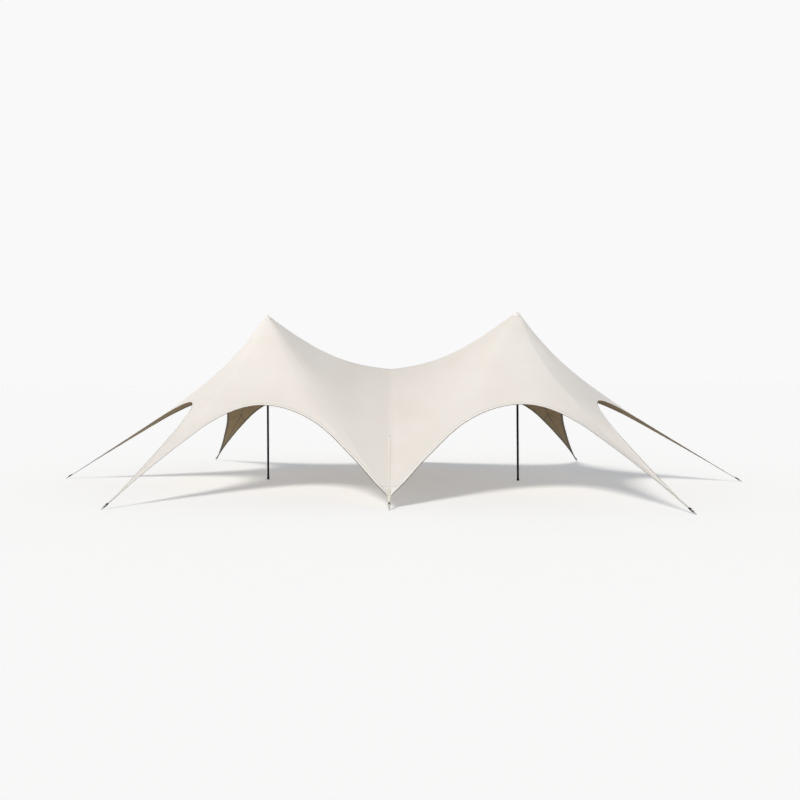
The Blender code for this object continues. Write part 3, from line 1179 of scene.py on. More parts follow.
@dataclass
class Sheet:
    """The canopy's cloth: one sheet with a cream outside and a khaki lining."""

    form: CanopyForm
    flat: Pair = (20.5, 11.8)       # of the rectangle that the cut cloth fits in
    area: float = 79.9
    merge: float = 0.02 * MM
    tip_region: float = 1.2         # round a tip, in which its cloth is cut
    panels: tuple[str, ...] = (
        "left_end_front", "left_end_rear", "right_end_front", "right_end_rear", "front_left",
        "front_right", "rear_left", "rear_right", "front_middle", "rear_middle")
    corners: Corners = ((0, 1), (0, 0), (1, 0), (1, 1))

    def surface(self) -> Surface:
        """Lay out the lining face.

        Returns:
            The surface, facing outwards, with its UV map in metres.
        """
        shape = bmesh.new()
        for patch in self.form.patches:
            along, across = walked(patch.grid), walked(patch.grid, axis=1)
            faces_out = patch.signs[0] * patch.signs[1] > 0.0
            skin(shape, patch.grid, lambda r, c: (along[r, c], across[r, c]),
                 self.corners if faces_out else self.corners[::-1], patch.grid.shape[1] - 1)
        bmesh.ops.remove_doubles(shape, verts=shape.verts[:], dist=self.merge)
        return shape

    def cut_tips(self, shape: Surface) -> None:
        """Cut the cloth off square where the straps take over.

        What is cut is handed over in a fixed order, so that the cloth is the same each time.

        Args:
            shape: The lining face.
        """
        for arm in self.form.arms():
            near = [face for face in shape.faces
                    if (face.calc_center_median() - arm.tip).length < self.tip_region]
            edges = dict.fromkeys(edge for face in near for edge in face.edges)
            verts = dict.fromkeys(vert for face in near for vert in face.verts)
            bmesh.ops.bisect_plane(
                shape, geom=[*near, *edges, *verts], dist=0.5 * self.merge, clear_inner=True,
                plane_co=arm.anchor + arm.line * arm.cloth_start, plane_no=arm.line)

    def build(self) -> tuple[Piece, ClothFace]:
        """Make the sheet.

        Returns:
            The sheet, and its lining face for what is sewn on it.
        """
        shape = self.surface()
        self.cut_tips(shape)
        face = ClothFace(BVHTree.FromBMesh(shape))
        # The wall's edge takes the khaki binding finish, which is darkened with painted shade.
        sheet = dress(open_surface("canopy", shape), Look.OUTER_CLOTH, Look.LINING, Look.KHAKI_BINDING_AND_PAINTED_SHADE)
        thicken(sheet, CLOTH_THICKNESS, 1, 2)
        return hand_over(sheet, "canopy_cloth", *(f"{name}_panel" for name in self.panels)), face


# What is sewn to the canopy

@dataclass(frozen=True)
class Section:
    """Cross-section of a sewn strip, as (across, rise) points.

    Across is in metres, or in shares of the strip's width; rise is from the lining face outwards.
    """

    points: tuple[Pair, ...]
    wall: float
    looks: tuple[Look, ...]
    second_look: float = math.inf       # span from which on the strip has its second finish
    base: float = 0.0                   # rise that stays where a strip is drawn lower at its ends

    @classmethod
    def flat(cls, half: float, points: int, rise: float, wall: float, look: Look) -> "Section":
        """The section of a flat strip.

        Args:
            half: Half of its width.
            points: Number of points across.
            rise: Rise of the strip.
            wall: Its thickness.
            look: Its finish.

        Returns:
            The section.
        """
        return cls(tuple((across, rise) for across in np.linspace(-half, half, points)), wall, (look,))


@dataclass(frozen=True)
class Station:
    """A point of a strip's path, with the direction out of the tent where it lies off the cloth."""

    place: Vector
    width: float = 1.0
    swell: float = 1.0
    up: Vector | None = None


@dataclass
class Sewing:
    """Lays strips on the canopy."""

    face: ClothFace
    corners: Corners = ((0, 0), (0, 1), (1, 1), (1, 0))

    def footing(self, station: Station, wanted: Vector) -> tuple[Vector, Vector]:
        """Where a point of a strip rests, and the direction out of the tent there."""
        return (wanted, station.up) if station.up is not None else self.face.at(wanted)

    def side_at(self, path: Sequence[Station], number: int) -> Vector:
        """Find the direction across a strip.

        Args:
            path: The strip's stations.
            number: Number of the station at which it is wanted.

        Returns:
            The direction.
        """
        ahead = path[min(number + 1, len(path) - 1)].place
        behind = path[max(number - 1, 0)].place
        _, normal = self.footing(path[number], path[number].place)
        return (ahead - behind).normalized().cross(normal).normalized()

    def row(self, station: Station, section: Section, side: Vector, keeps_overhang: bool) -> list[Vector]:
        """Lay a section on the cloth.

        Args:
            station: Where it is laid.
            section: The section.
            side: The direction across.
            keeps_overhang: Whether points with a negative across may stand off the cloth's edge.

        Returns:
            The section's points.
        """
        row = []
        for across, rise in section.points:
            wanted = station.place + side * across * station.width
            foot, out = self.footing(station, wanted)
            if across < 0.0 and keeps_overhang:
                beyond = wanted - foot
                foot = foot + beyond - out * beyond.dot(out)
            row.append(foot + out * (section.base + (rise - section.base) * station.swell))
        return row

    def strip(self, name: str, path: Sequence[Station], section: Section,
              inward: Vector | None = None) -> Piece:
        """Lay a strip along a path on the cloth.

        Args:
            name: Name of the piece.
            path: The path's stations.
            section: The strip's cross-section.
            inward: For a strip beside a path, a point on the side that positive across lies on.

        Returns:
            The strip, as a closed shell.
        """
        beside = inward is not None
        middle = len(path) // 2
        flipped = beside and self.side_at(path, middle).dot(inward - path[middle].place) < 0.0
        rows = [self.row(station, section, self.side_at(path, number) * (-1.0 if flipped else 1.0), beside)
                for number, station in enumerate(path)]
        along = walked(np.array([station.place for station in path]))
        across = walked(np.array(rows), axis=1)
        from_edge = np.minimum(across, across[:, -1:] - across)
        spans = len(section.points) - 1
        shape = bmesh.new()
        faces = skin(shape, rows, lambda r, c: (along[r], from_edge[r, c]), self.corners, spans)
        for number, face in enumerate(faces):
            face.material_index = int(number % spans >= section.second_look)
        shape.normal_update()
        outward = self.face.at(path[-1].place)[1]
        points_out = faces[-spans].normal.dot(outward) > 0.0
        if points_out != (section.points[0][1] > 0.5 * CLOTH_THICKNESS):
            bmesh.ops.reverse_faces(shape, faces=shape.faces[:])
        piece = dress(open_surface(name, shape), *section.looks)
        thicken(piece, section.wall)
        return piece


@dataclass
class HemWork:
    """Webbing folded over the canopy's edge: cream outside, and khaki darkened with painted shade round the
    edge and inside.
    """

    form: CanopyForm
    sewing: Sewing
    width: float = 60.0 * MM
    # The khaki lip has the binding's finish, darkened with painted shade along the edge.
    lip: float = 10.0 * MM          # of khaki outside, along the edge
    edge: float = 3.0 * MM
    rows: Pair = (0.33, 0.66)       # shares of the width at which it can bend
    lift: float = 0.4 * MM
    wall: float = 0.9 * MM
    narrowing: float = 0.9          # of the cloth's half width, where an arm is narrow

    def section(self) -> Section:
        """Fold the webbing round the edge, from the cream side to the lining side.

        Returns:
            The section, as shares of the width.
        """
        over, under = OUT + self.lift, -self.lift
        outside = [(share, over) for share in (1.0, *self.rows[::-1], self.lip / self.width, 0.0)]
        inside = [(share, under) for share in (0.0, *self.rows, 1.0)]
        return Section((*outside, (-self.edge / self.width, 0.5 * OUT), *inside), self.wall,
                       (Look.HEM_WEBBING_AND_PAINTED_HIGHLIGHT, Look.KHAKI_BINDING_AND_PAINTED_SHADE), second_look=3)

    def build(self) -> list[Piece]:
        """Sew the hems.

        Returns:
            One hem for each arch between two arms.
        """
        hems = []
        arms = {arm.name: arm for arm in self.form.arms()}
        for patch in self.form.patches:
            if "middle" in patch.name:
                continue
            x_word, y_word = patch.words
            corner = arms[f"{y_word}_{x_word}"]
            other = arms[f"{x_word}_end" if "end" in patch.name else f"{y_word}_middle"]
            stations = []
            for point in other.trimmed(corner.trimmed(patch.hem)):
                room = min(corner.aside(point), other.aside(point))
                stations.append(Station(point, min(self.width, self.narrowing * room)))
            inside = Vector(patch.grid[len(patch.grid) // 2, patch.grid.shape[1] // 2])
            hem = self.sewing.strip(f"{patch.name}_hem", stations, self.section(), inside)
            hems.append(hand_over(hem, "canopy_cloth"))
        return hems


@dataclass
class SeamWork:
    """Felled seams outside and taped seams on the lining."""

    form: CanopyForm
    sewing: Sewing
    width: float = 18.0 * MM
    tape_width: float = 26.0 * MM
    lift: float = 0.2 * MM
    wall: float = 0.6 * MM
    under_cap: float = 0.2              # of a step, up from the cap's rim
    cross_on_seam: float = 2.68         # from an arm's tip to where a cross seam meets the arm's seam
    cross_on_hem: float = 2.24          # and to where it meets the hem
    cross_points: int = 14

    def sew(self, name: str, path: Sequence[Vector]) -> list[Piece]:
        """Sew a seam: a low fold of the cloth outside, with tape ironed over it inside.

        Args:
            name: Name of the seam.
            path: Its path.

        Returns:
            The fold and the tape.
        """
        stations = [Station(point) for point in path]
        # The fold's whiter cream is partly a painted highlight.
        fold = Section.flat(0.5 * self.width, 5, OUT + self.lift, self.wall, Look.HEM_WEBBING_AND_PAINTED_HIGHLIGHT)
        # The tape's khaki finish is darkened with painted shade.
        tape = Section.flat(0.5 * self.tape_width, 3, -self.lift, 0.5 * self.wall, Look.KHAKI_BINDING_AND_PAINTED_SHADE)
        pieces = [self.sewing.strip(f"{name}_seam", stations, fold),
                  self.sewing.strip(f"{name}_seam_tape", stations, tape)]
        return [hand_over(piece, "canopy_cloth") for piece in pieces]

    def below_cap(self, path: Sequence[Vector]) -> list[Vector]:
        """A path from a peak on, from just under the cap's rim."""
        rim = int(self.form.ring_counts[0] * PeakCap.share)
        return [path[rim].lerp(path[rim - 1], self.under_cap), *path[rim:]]

    def cross_path(self, patch: Patch, first_column: bool) -> list[Vector]:
        """A seam across half of an arm.

        Args:
            patch: The patch that it lies on.
            first_column: Whether the arm is at the patch's first column, and not at its last.

        Returns:
            The path, from the arm's own seam to the hem.
        """
        seam = patch.grid[:, 0 if first_column else -1]
        hem = patch.hem if first_column else patch.hem[::-1]
        tip = seam[-1]
        start = seam[np.argmin(abs(np.linalg.norm(seam - tip, axis=1) - self.cross_on_seam))]
        reach = np.linalg.norm(hem - tip, axis=1)
        near = np.flatnonzero(reach < 2.0 * self.cross_on_seam)
        end = hem[near[np.argmin(abs(reach[near] - self.cross_on_hem))]]
        shares = np.linspace(0.0, 1.0, self.cross_points)[:, None]
        straight = start * (1.0 - shares) + end * shares
        return [self.sewing.face.at(Vector(point))[0] for point in straight]

    def build(self) -> list[Piece]:
        """Sew every seam.

        Returns:
            The arms' seams, the ridge and the cross seams.
        """
        pieces = []
        arms = {arm.name: arm for arm in self.form.arms()}
        for patch in self.form.patches:
            x_word, y_word = patch.words
            corner = f"{y_word}_{x_word}"
            first, last = patch.grid[:, 0], patch.grid[:, -1]
            crosses = {}
            if "end" in patch.name:
                end = f"{x_word}_end"
                if patch.signs[1] == FRONT:
                    pieces += self.sew(f"{end}_arm", self.below_cap(arms[end].trimmed(first)))
                pieces += self.sew(f"{corner}_arm", self.below_cap(arms[corner].trimmed(last)))
                crosses = {f"{patch.name}_cross": True, f"{corner}_outer_cross": False}
            elif "middle" in patch.name:
                middle = arms[f"{y_word}_middle"].trimmed(first)
                pieces += self.sew(f"{patch.name}_arm", self.below_cap(middle))
                if patch.signs == (RIGHT, FRONT):
                    right, left = ([Vector(point) for point in last * mirror] for mirror in (1.0, MIRROR_X))
                    pieces += self.sew("ridge", self.below_cap(right)[:-1] + self.below_cap(left)[::-1])
            else:
                crosses = {f"{corner}_inner_cross": True}
            for name, first_column in crosses.items():
                pieces += self.sew(name, self.cross_path(patch, first_column))
        return pieces


@dataclass
class ArmWork:
    """What is sewn to the cloth's end on every arm: doubled cloth, pull webbing and, at the
    middle arms, a raised seam."""

    form: CanopyForm
    sewing: Sewing
    long_patch: float = 0.36            # doubled cloth, up from the cloth's end
    short_patch: float = 0.28
    patch_margin: float = 12.0 * MM     # beside it, to the hem
    patch_wall: float = 0.5 * MM
    patch_lift: float = 0.15 * MM
    patch_grid: tuple[int, int] = (16, 17)      # points along it and across
    hem_points: int = 40                # of a hem, from the tip on, that an arm's width is taken from
    pull_on_cloth: float = 0.24         # webbing sewn on the cloth
    pull_width: float = 40.0 * MM
    broad_end: float = 78.0 * MM        # of the middle arms' webbing where it meets the cloth
    broadens: float = 0.3               # share of the way to the cloth from which it broadens
    pull_wall: float = 2.2 * MM
    pull_lift: float = 1.5 * MM
    pull_start: float = 0.142           # up the line from the anchor's foot: on the ratchet's drum
    pull_free: float = 0.985            # share of the way from there to the cloth that hangs free
    pull_sewn: float = 6.0 * MM         # from the cloth's end to where it lies on the cloth
    pull_grid: tuple[int, int] = (9, 5)         # points along each stretch, and across
    pleat_start: float = 0.10           # up from the tip of a middle arm
    pleat_end: float = 1.95
    pleat_width: float = 30.0 * MM
    pleat_rise: float = 12.0 * MM
    pleat_lift: float = 0.3 * MM
    pleat_wall: float = 0.8 * MM
    pleat_power: float = 0.6            # how soon it swells; a half round would be a half
    pleat_least: float = 0.02           # of the swell, at its ends
    pleat_grid: tuple[int, int] = (33, 9)       # points along it and across

    def lines_from_tip(self, arm: PlacedArm, hems: bool) -> list[np.ndarray]:
        """The lines of the cloth that start at an arm's tip.

        Args:
            arm: The arm.
            hems: Whether they are the hems beside it, and not the lines up its middle.

        Returns:
            The lines, from the tip on.
        """
        found = []
        for patch in self.form.patches:
            is_middle = "middle" in patch.name
            if hems or arm.is_middle:
                lines = (patch.hem, patch.hem[::-1]) if is_middle != hems else ()
            else:
                lines = (patch.grid[::-1, 0], patch.grid[::-1, -1])
            found += [line for line in lines if (Vector(line[0]) - arm.tip).length < MM]
        return found

    def half_width(self, arm: PlacedArm, point: Vector) -> float:
        """Measure from the middle of an arm to its nearer hem.

        Args:
            arm: The arm.
            point: A point of its middle line.

        Returns:
            The distance.
        """
        nearest = math.inf
        for hem in self.lines_from_tip(arm, hems=True):
            reaches = [arm.reach(place) for place in hem[:self.hem_points]]
            asides = [arm.aside(place) for place in hem[:self.hem_points]]
            nearest = min(nearest, float(np.interp(arm.reach(point), reaches, asides)))
        return nearest

    @staticmethod
    def resampled(path: Sequence[Vector], start: float, end: float, count: int) -> list[Vector]:
        """Take evenly spaced points of a path.

        Args:
            path: The path.
            start: The way along it to the first point.
            end: The way along it to the last point.
            count: Number of points.

        Returns:
            The points.
        """
        points = np.array(path)
        wanted = np.linspace(start, end, count)
        reach = walked(points)
        return [Vector(point) for point in zip(*(np.interp(wanted, reach, axis) for axis in points.T))]

    def patch_pieces(self, arm: PlacedArm, path: Sequence[Vector]) -> Iterator[Piece]:
        """Double the cloth on both faces.

        Args:
            arm: The arm.
            path: The line up the middle of its cloth.

        Returns:
            The outer and the inner patch.
        """
        length = self.short_patch if arm.is_middle else self.long_patch
        along, across = self.patch_grid
        stations = [Station(point, self.half_width(arm, point) - self.patch_margin)
                    for point in self.resampled(path, 0.0, length, along)]
        # The lining-side patch's dark finish is painted shade.
        for name, rise, look in (("tip_patch", OUT + self.patch_lift, Look.TIP_PATCH),
                                 ("tip_patch_lining", -self.patch_lift, Look.TIP_LINING_PAINTED_SHADE)):
            yield self.sewing.strip(f"{arm.name}_{name}", stations,
                                    Section.flat(1.0, across, rise, self.patch_wall, look))

    def pull(self, arm: PlacedArm, path: Sequence[Vector]) -> Piece:
        """Lay the pull webbing: from the ratchet's drum up to the cloth, and on along both faces of it.

        Args:
            arm: The arm.
            path: The line up the middle of its cloth.

        Returns:
            The webbing.
        """
        up = arm.frame.to_3x3() @ UP
        start = arm.anchor + arm.line * self.pull_start
        broad = self.broad_end if arm.is_middle else self.pull_width
        along, across = self.pull_grid
        stations = []
        for share in np.linspace(0.0, self.pull_free, along):
            broader = max(0.0, share - self.broadens) / (1.0 - self.broadens)
            width = self.pull_width + (broad - self.pull_width) * broader
            stations.append(Station(start.lerp(path[0], share), width, up=up))
        on_cloth = self.resampled(path, self.pull_sewn, self.pull_on_cloth, along)
        for point, width in zip(on_cloth, np.linspace(broad, self.pull_width, along)):
            stations.append(Station(point, float(width)))
        name = f"{arm.name}_pull_webbing"
        # The back layer's charcoal finish is painted shade.
        layers = [self.sewing.strip(name, stations, Section.flat(0.5, across, rise, self.pull_wall, look))
                  for rise, look in ((OUT + self.pull_lift, Look.PULL_WEBBING),
                                     (-self.pull_lift, Look.PULL_BACKING_PAINTED_SHADE))]
        return joined(name, *layers)

    def pleat(self, arm: PlacedArm, path: Sequence[Vector]) -> Piece:
        """Raise a rolled seam along the middle of an arm, flat at both ends.

        Args:
            arm: The arm.
            path: The line up the middle of its cloth.

        Returns:
            The seam.
        """
        along, across = self.pleat_grid
        swells = np.maximum(np.sin(math.pi * np.linspace(0.0, 1.0, along)), 0.0) ** self.pleat_power
        swells[[0, -1]] = self.pleat_least
        points = self.resampled(path, self.pleat_start, self.pleat_end, along)
        stations = [Station(point, swell=float(swell)) for point, swell in zip(points, swells)]
        rounds = tuple((0.5 * self.pleat_width * math.cos(turn),
                        OUT + self.pleat_lift + self.pleat_rise * math.sin(turn))
                       for turn in np.linspace(math.pi, 0.0, across))
        section = Section(rounds, self.pleat_wall, (Look.OUTER_CLOTH,), base=OUT)
        return self.sewing.strip(f"{arm.name}_raised_seam", stations, section)

    def build(self) -> list[Piece]:
        """Sew every arm's end.

        Returns:
            What is cloth of the sheet, and so not the webbing.
        """
        sewn = []
        for arm in self.form.arms():
            path = arm.trimmed(self.lines_from_tip(arm, hems=False)[0])
            sewn += [hand_over(piece, "canopy_cloth") for piece in self.patch_pieces(arm, path)]
            if arm.is_middle:
                sewn.append(hand_over(self.pleat(arm, path), "canopy_cloth"))
            hand_over(self.pull(arm, path), "webbing", f"{arm.name}_strap")
        return sewn


@dataclass
class PeakCap:
    """Doubled cloth over a mast head, sewn down to the canopy along its rim."""

    form: CanopyForm
    side: float
    share: float = 0.5              # of the way from the net's first ring to its second
    columns: int = 48               # in half a turn
    column_width: float = 8.0 * MM  # on the UV map
    lift: float = 1.0 * MM
    wall: float = 1.1 * MM
    point_radius: float = 7.0 * MM
    point_turn: float = 0.75        # from the point's top down its round, in radians
    point_least: float = 0.2 * MM   # radius of the point's first ring
    point_rings: tuple[float, ...] = (0.0, 0.35, 0.7, 1.0)
    flank_rings: tuple[float, ...] = (0.3, 0.65)
    sinks: float = 2.0 * MM         # from the net's peak down to the cap's
    corners: Corners = ((0, 0), (1, 0), (1, 1), (0, 1))

    def half(self, y_sign: float) -> np.ndarray:
        """Choose columns of the canopy round the peak, from the end arm to the ridge.

        Args:
            y_sign: The side along Y that they are on.

        Returns:
            The columns, down to the cap's rim.
        """
        grids = [patch.grid for patch in self.form.patches if patch.signs == (self.side, y_sign)]
        whole = np.concatenate([grids[0], *(grid[:, 1:] for grid in grids[1:])], axis=1)
        chosen = np.linspace(0, whole.shape[1] - 1, self.columns + 1).round().astype(int)
        return whole[:int(self.form.ring_counts[0] * self.share) + 1, chosen]

    def grid(self) -> np.ndarray:
        """Lay out the cap's surface.

        Returns:
            Its points, ring by ring from its point to its rim.
        """
        skirt = np.concatenate([self.half(REAR), self.half(FRONT)[:, -2:0:-1]], axis=1)
        around = np.roll(skirt, -1, axis=1) - np.roll(skirt, 1, axis=1)
        out = unit(np.cross(around, np.gradient(skirt, axis=0)))
        out *= np.where(out[..., 2:] < 0.0, -1.0, 1.0)
        skirt = skirt + out * (OUT + self.lift)
        axis = np.array((self.side * self.form.net.mast_x, 0.0, 0.0))
        outward = unit((skirt[0] - axis) * (1.0, 1.0, 0.0))
        rings = []
        for share in self.point_rings:
            turn = share * self.point_turn
            radius = max(self.point_radius * math.sin(turn), self.point_least)
            height = self.form.net.peak_height - self.sinks - self.point_radius * (1.0 - math.cos(turn))
            rings.append(axis + outward * radius + (0.0, 0.0, height))
        rings += [rings[-1] * (1.0 - share) + skirt[0] * share for share in self.flank_rings]
        return np.concatenate([np.array(rings), skirt], axis=0)

    def build(self) -> Piece:
        """Make the cap.

        Returns:
            The cap.
        """
        grid = self.grid()
        count = grid.shape[1]
        from_rim = walked(grid[::-1])[::-1].mean(axis=1)
        shape = bmesh.new()
        skin(shape, grid, lambda r, c: (self.column_width * c, from_rim[r]), self.corners, count)
        shape.verts.ensure_lookup_table()
        crown = shape.faces.new(shape.verts[:count])
        crown.smooth = True
        bmesh.ops.recalc_face_normals(shape, faces=shape.faces[:])
        shape.normal_update()
        if crown.normal.z < 0.0:
            bmesh.ops.reverse_faces(shape, faces=shape.faces[:])
        word = X_WORDS[self.side]
        cap = dress(open_surface(f"{word}_cap", shape), Look.CAP_CLOTH)
        thicken(cap, self.wall)
        return hand_over(cap, "canopy_cloth", f"{word}_peak_cap")


# Masts

def turned_up(name: str, profile: Sequence[Pair], sides: int) -> Piece:
    """A part turned about +Z: a cylinder whose top face is then drawn along the profile.

    Args:
        name: Name of the piece.
        profile: (radius, height) points; the first two have the same radius.
        sides: Number of sides.

    Returns:
        The part, at the origin.
    """
    (radius, bottom), (_, top) = profile[:2]
    take()
    bpy.ops.mesh.primitive_cylinder_add(
        vertices=sides, radius=radius, depth=top - bottom, location=(0.0, 0.0, (top + bottom) / 2.0))
    part = newest(name)
    with editing(part):
        pick(part, lambda face: face.normal.z > AXIAL)
        for (old_radius, old_height), (new_radius, new_height) in zip(profile[1:], profile[2:]):
            bpy.ops.mesh.extrude_region_move(
                TRANSFORM_OT_translate={"value": (0.0, 0.0, new_height - old_height)})
            share = new_radius / old_radius
            bpy.ops.transform.resize(value=(share, share, 1.0))
    return part


@dataclass
class Mast:
    """A sectional steel mast with a rubber foot, and a rubber head inside the peak cap."""

    side: float
    x: float
    sides: int = 48                 # of the foot and the head
    tube_sides: int = 64
    radius: float = 27.5 * MM
    gap: float = 0.3 * MM
    foot_radius: float = 33.0 * MM
    heel_radius: float = 36.0 * MM
    heel_height: float = 12.0 * MM
    foot_height: float = 60.0 * MM
    foot_floor: float = 15.0 * MM
    foot_lip: Pair = (1.0 * MM, 2.0 * MM)
    ribs: Triple = (29.0 * MM, 38.0 * MM, 47.0 * MM)
    rib_depth: float = 1.5 * MM
    rib_start: float = 4.0 * MM     # where a rib starts to rise, where it is up and where it ends
    rib_up: float = 5.0 * MM
    rib_end: float = 7.5 * MM
    foot_rounding: float = 0.6 * MM
    head_top: float = 4.2945
    head_length: float = 130.0 * MM
    head_profile: tuple[Pair, ...] = (      # radius, and depth below the top
        (30.0 * MM, 130.0 * MM), (30.0 * MM, 40.0 * MM), (16.5 * MM, 16.0 * MM),
        (5.0 * MM, 2.0 * MM), (2.0 * MM, 0.5 * MM))
    head_rounding: float = 1.0 * MM
    joints: Pair = (1.40, 2.78)
    groove: float = 0.7 * MM        # depth, and the length of each of its slopes
    groove_length: float = 3.0 * MM
    button_radius: float = 4.5 * MM
    button_rise: float = 45.0 * MM  # above a joint

    def foot(self) -> Piece:
        """Turn the foot: a cup with a heel and three ribs round it.

        Returns:
            The foot.
        """
        body = self.foot_radius - self.rib_depth
        hole = self.radius + self.gap
        profile = [(self.heel_radius, 0.0), (self.heel_radius, self.heel_height),
                   (self.foot_radius, 2.0 * self.heel_height)]
        for rib in self.ribs:
            profile += [(body, rib), (body, rib + self.rib_start), (self.foot_radius, rib + self.rib_up),
                        (self.foot_radius, rib + self.rib_end)]
        lip_width, lip_height = self.foot_lip
        profile += [(body, self.foot_height - lip_height), (body - lip_width, self.foot_height),
                    (hole, self.foot_height), (hole, self.foot_floor)]
        foot = turned_up("foot_cup", profile, self.sides)
        round_edges(foot, self.foot_rounding)
        return foot

    def tube(self) -> Piece:
        """Turn the tube, with a fine groove where two sections meet and a spring button above it.

        Returns:
            The tube with its buttons.
        """
        profile = [(self.radius, self.foot_floor + self.gap)]
        for joint in self.joints:
            for height, depth in ((0.0, 0.0), (self.groove, self.groove),
                                  (self.groove_length - self.groove, self.groove), (self.groove_length, 0.0)):
                profile.append((self.radius - depth, joint + height))
        profile.append((self.radius, self.head_top - self.head_length - self.gap))
        parts = [turned_up("tube", profile, self.tube_sides)]
        for joint in self.joints:
            take()
            bpy.ops.mesh.primitive_uv_sphere_add(
                segments=20, ring_count=12, radius=self.button_radius,
                location=(0.0, -self.radius, joint + self.button_rise))
            parts.append(newest("button"))
        return joined("tube", *parts)

    def head(self) -> Piece:
        """Turn the head: a blunt cone that carries the cap.

        Returns:
            The head.
        """
        profile = [(radius, self.head_top - depth) for radius, depth in self.head_profile]
        head = turned_up("head_plug", profile, self.sides)
        round_edges(head, self.head_rounding)
        return head

    def build(self) -> None:
        """Make the mast and stand it in its place."""
        word = X_WORDS[self.side]
        tube, foot, head = self.tube(), self.foot(), self.head()
        for part, look, slot, node in (
                (foot, Look.RUBBER, "mast_rubber", "foot"),
                (tube, Look.MAST, "mast_steel", "tube"),
                (head, Look.RUBBER, "mast_rubber", "head")):
            called(part, f"{word}_{part.name}")
            moved(part, Matrix.Translation((self.x, 0.0, 0.0)))
            smooth(part)
            hand_over(dress(part, look), slot, f"{word}_mast_{node}")


# Ratchets and anchors

END_ROUND = 0.46        # of a plate's height, at its corners


def block(name: str, size: Triple, middle: Triple) -> Piece:
    """Make a box.

    Args:
        name: Its name.
        size: Its size.
        middle: Where its middle is.

    Returns:
        The box.
    """
    take()
    bpy.ops.mesh.primitive_cube_add(size=1.0, location=middle, scale=size)
    return newest(name)


def cross_rod(name: str, radius: float, length: float, x: float, z: float, sides: int = 32) -> Piece:
    """Make a cylinder along Y, across the strap.

    Args:
        name: Its name.
        radius: Its radius.
        length: Its length.
        x: Where its axis is, up the strap.
        z: And how far above the line.
        sides: Number of its sides.

    Returns:
        The cylinder.
    """
    take()
    bpy.ops.mesh.primitive_cylinder_add(
        vertices=sides, radius=radius, depth=length, location=(x, 0.0, z), rotation=(QUARTER_TURN, 0.0, 0.0))
    return newest(name)


def side_plate(name: str, size: Triple, middle: Triple) -> Piece:
    """Make a plate in the XZ plane with rounded ends.

    Args:
        name: Its name.
        size: Its size.
        middle: Where its middle is.

    Returns:
        The plate.
    """
    plate = block(name, size, middle)
    with editing(plate):
        pick(plate, lambda edge: abs((edge.verts[0].co - edge.verts[1].co).normalized().y) > AXIAL,
             edges=True)
        bpy.ops.mesh.bevel(offset=END_ROUND * size[2], segments=5, affect="EDGES")
    return plate


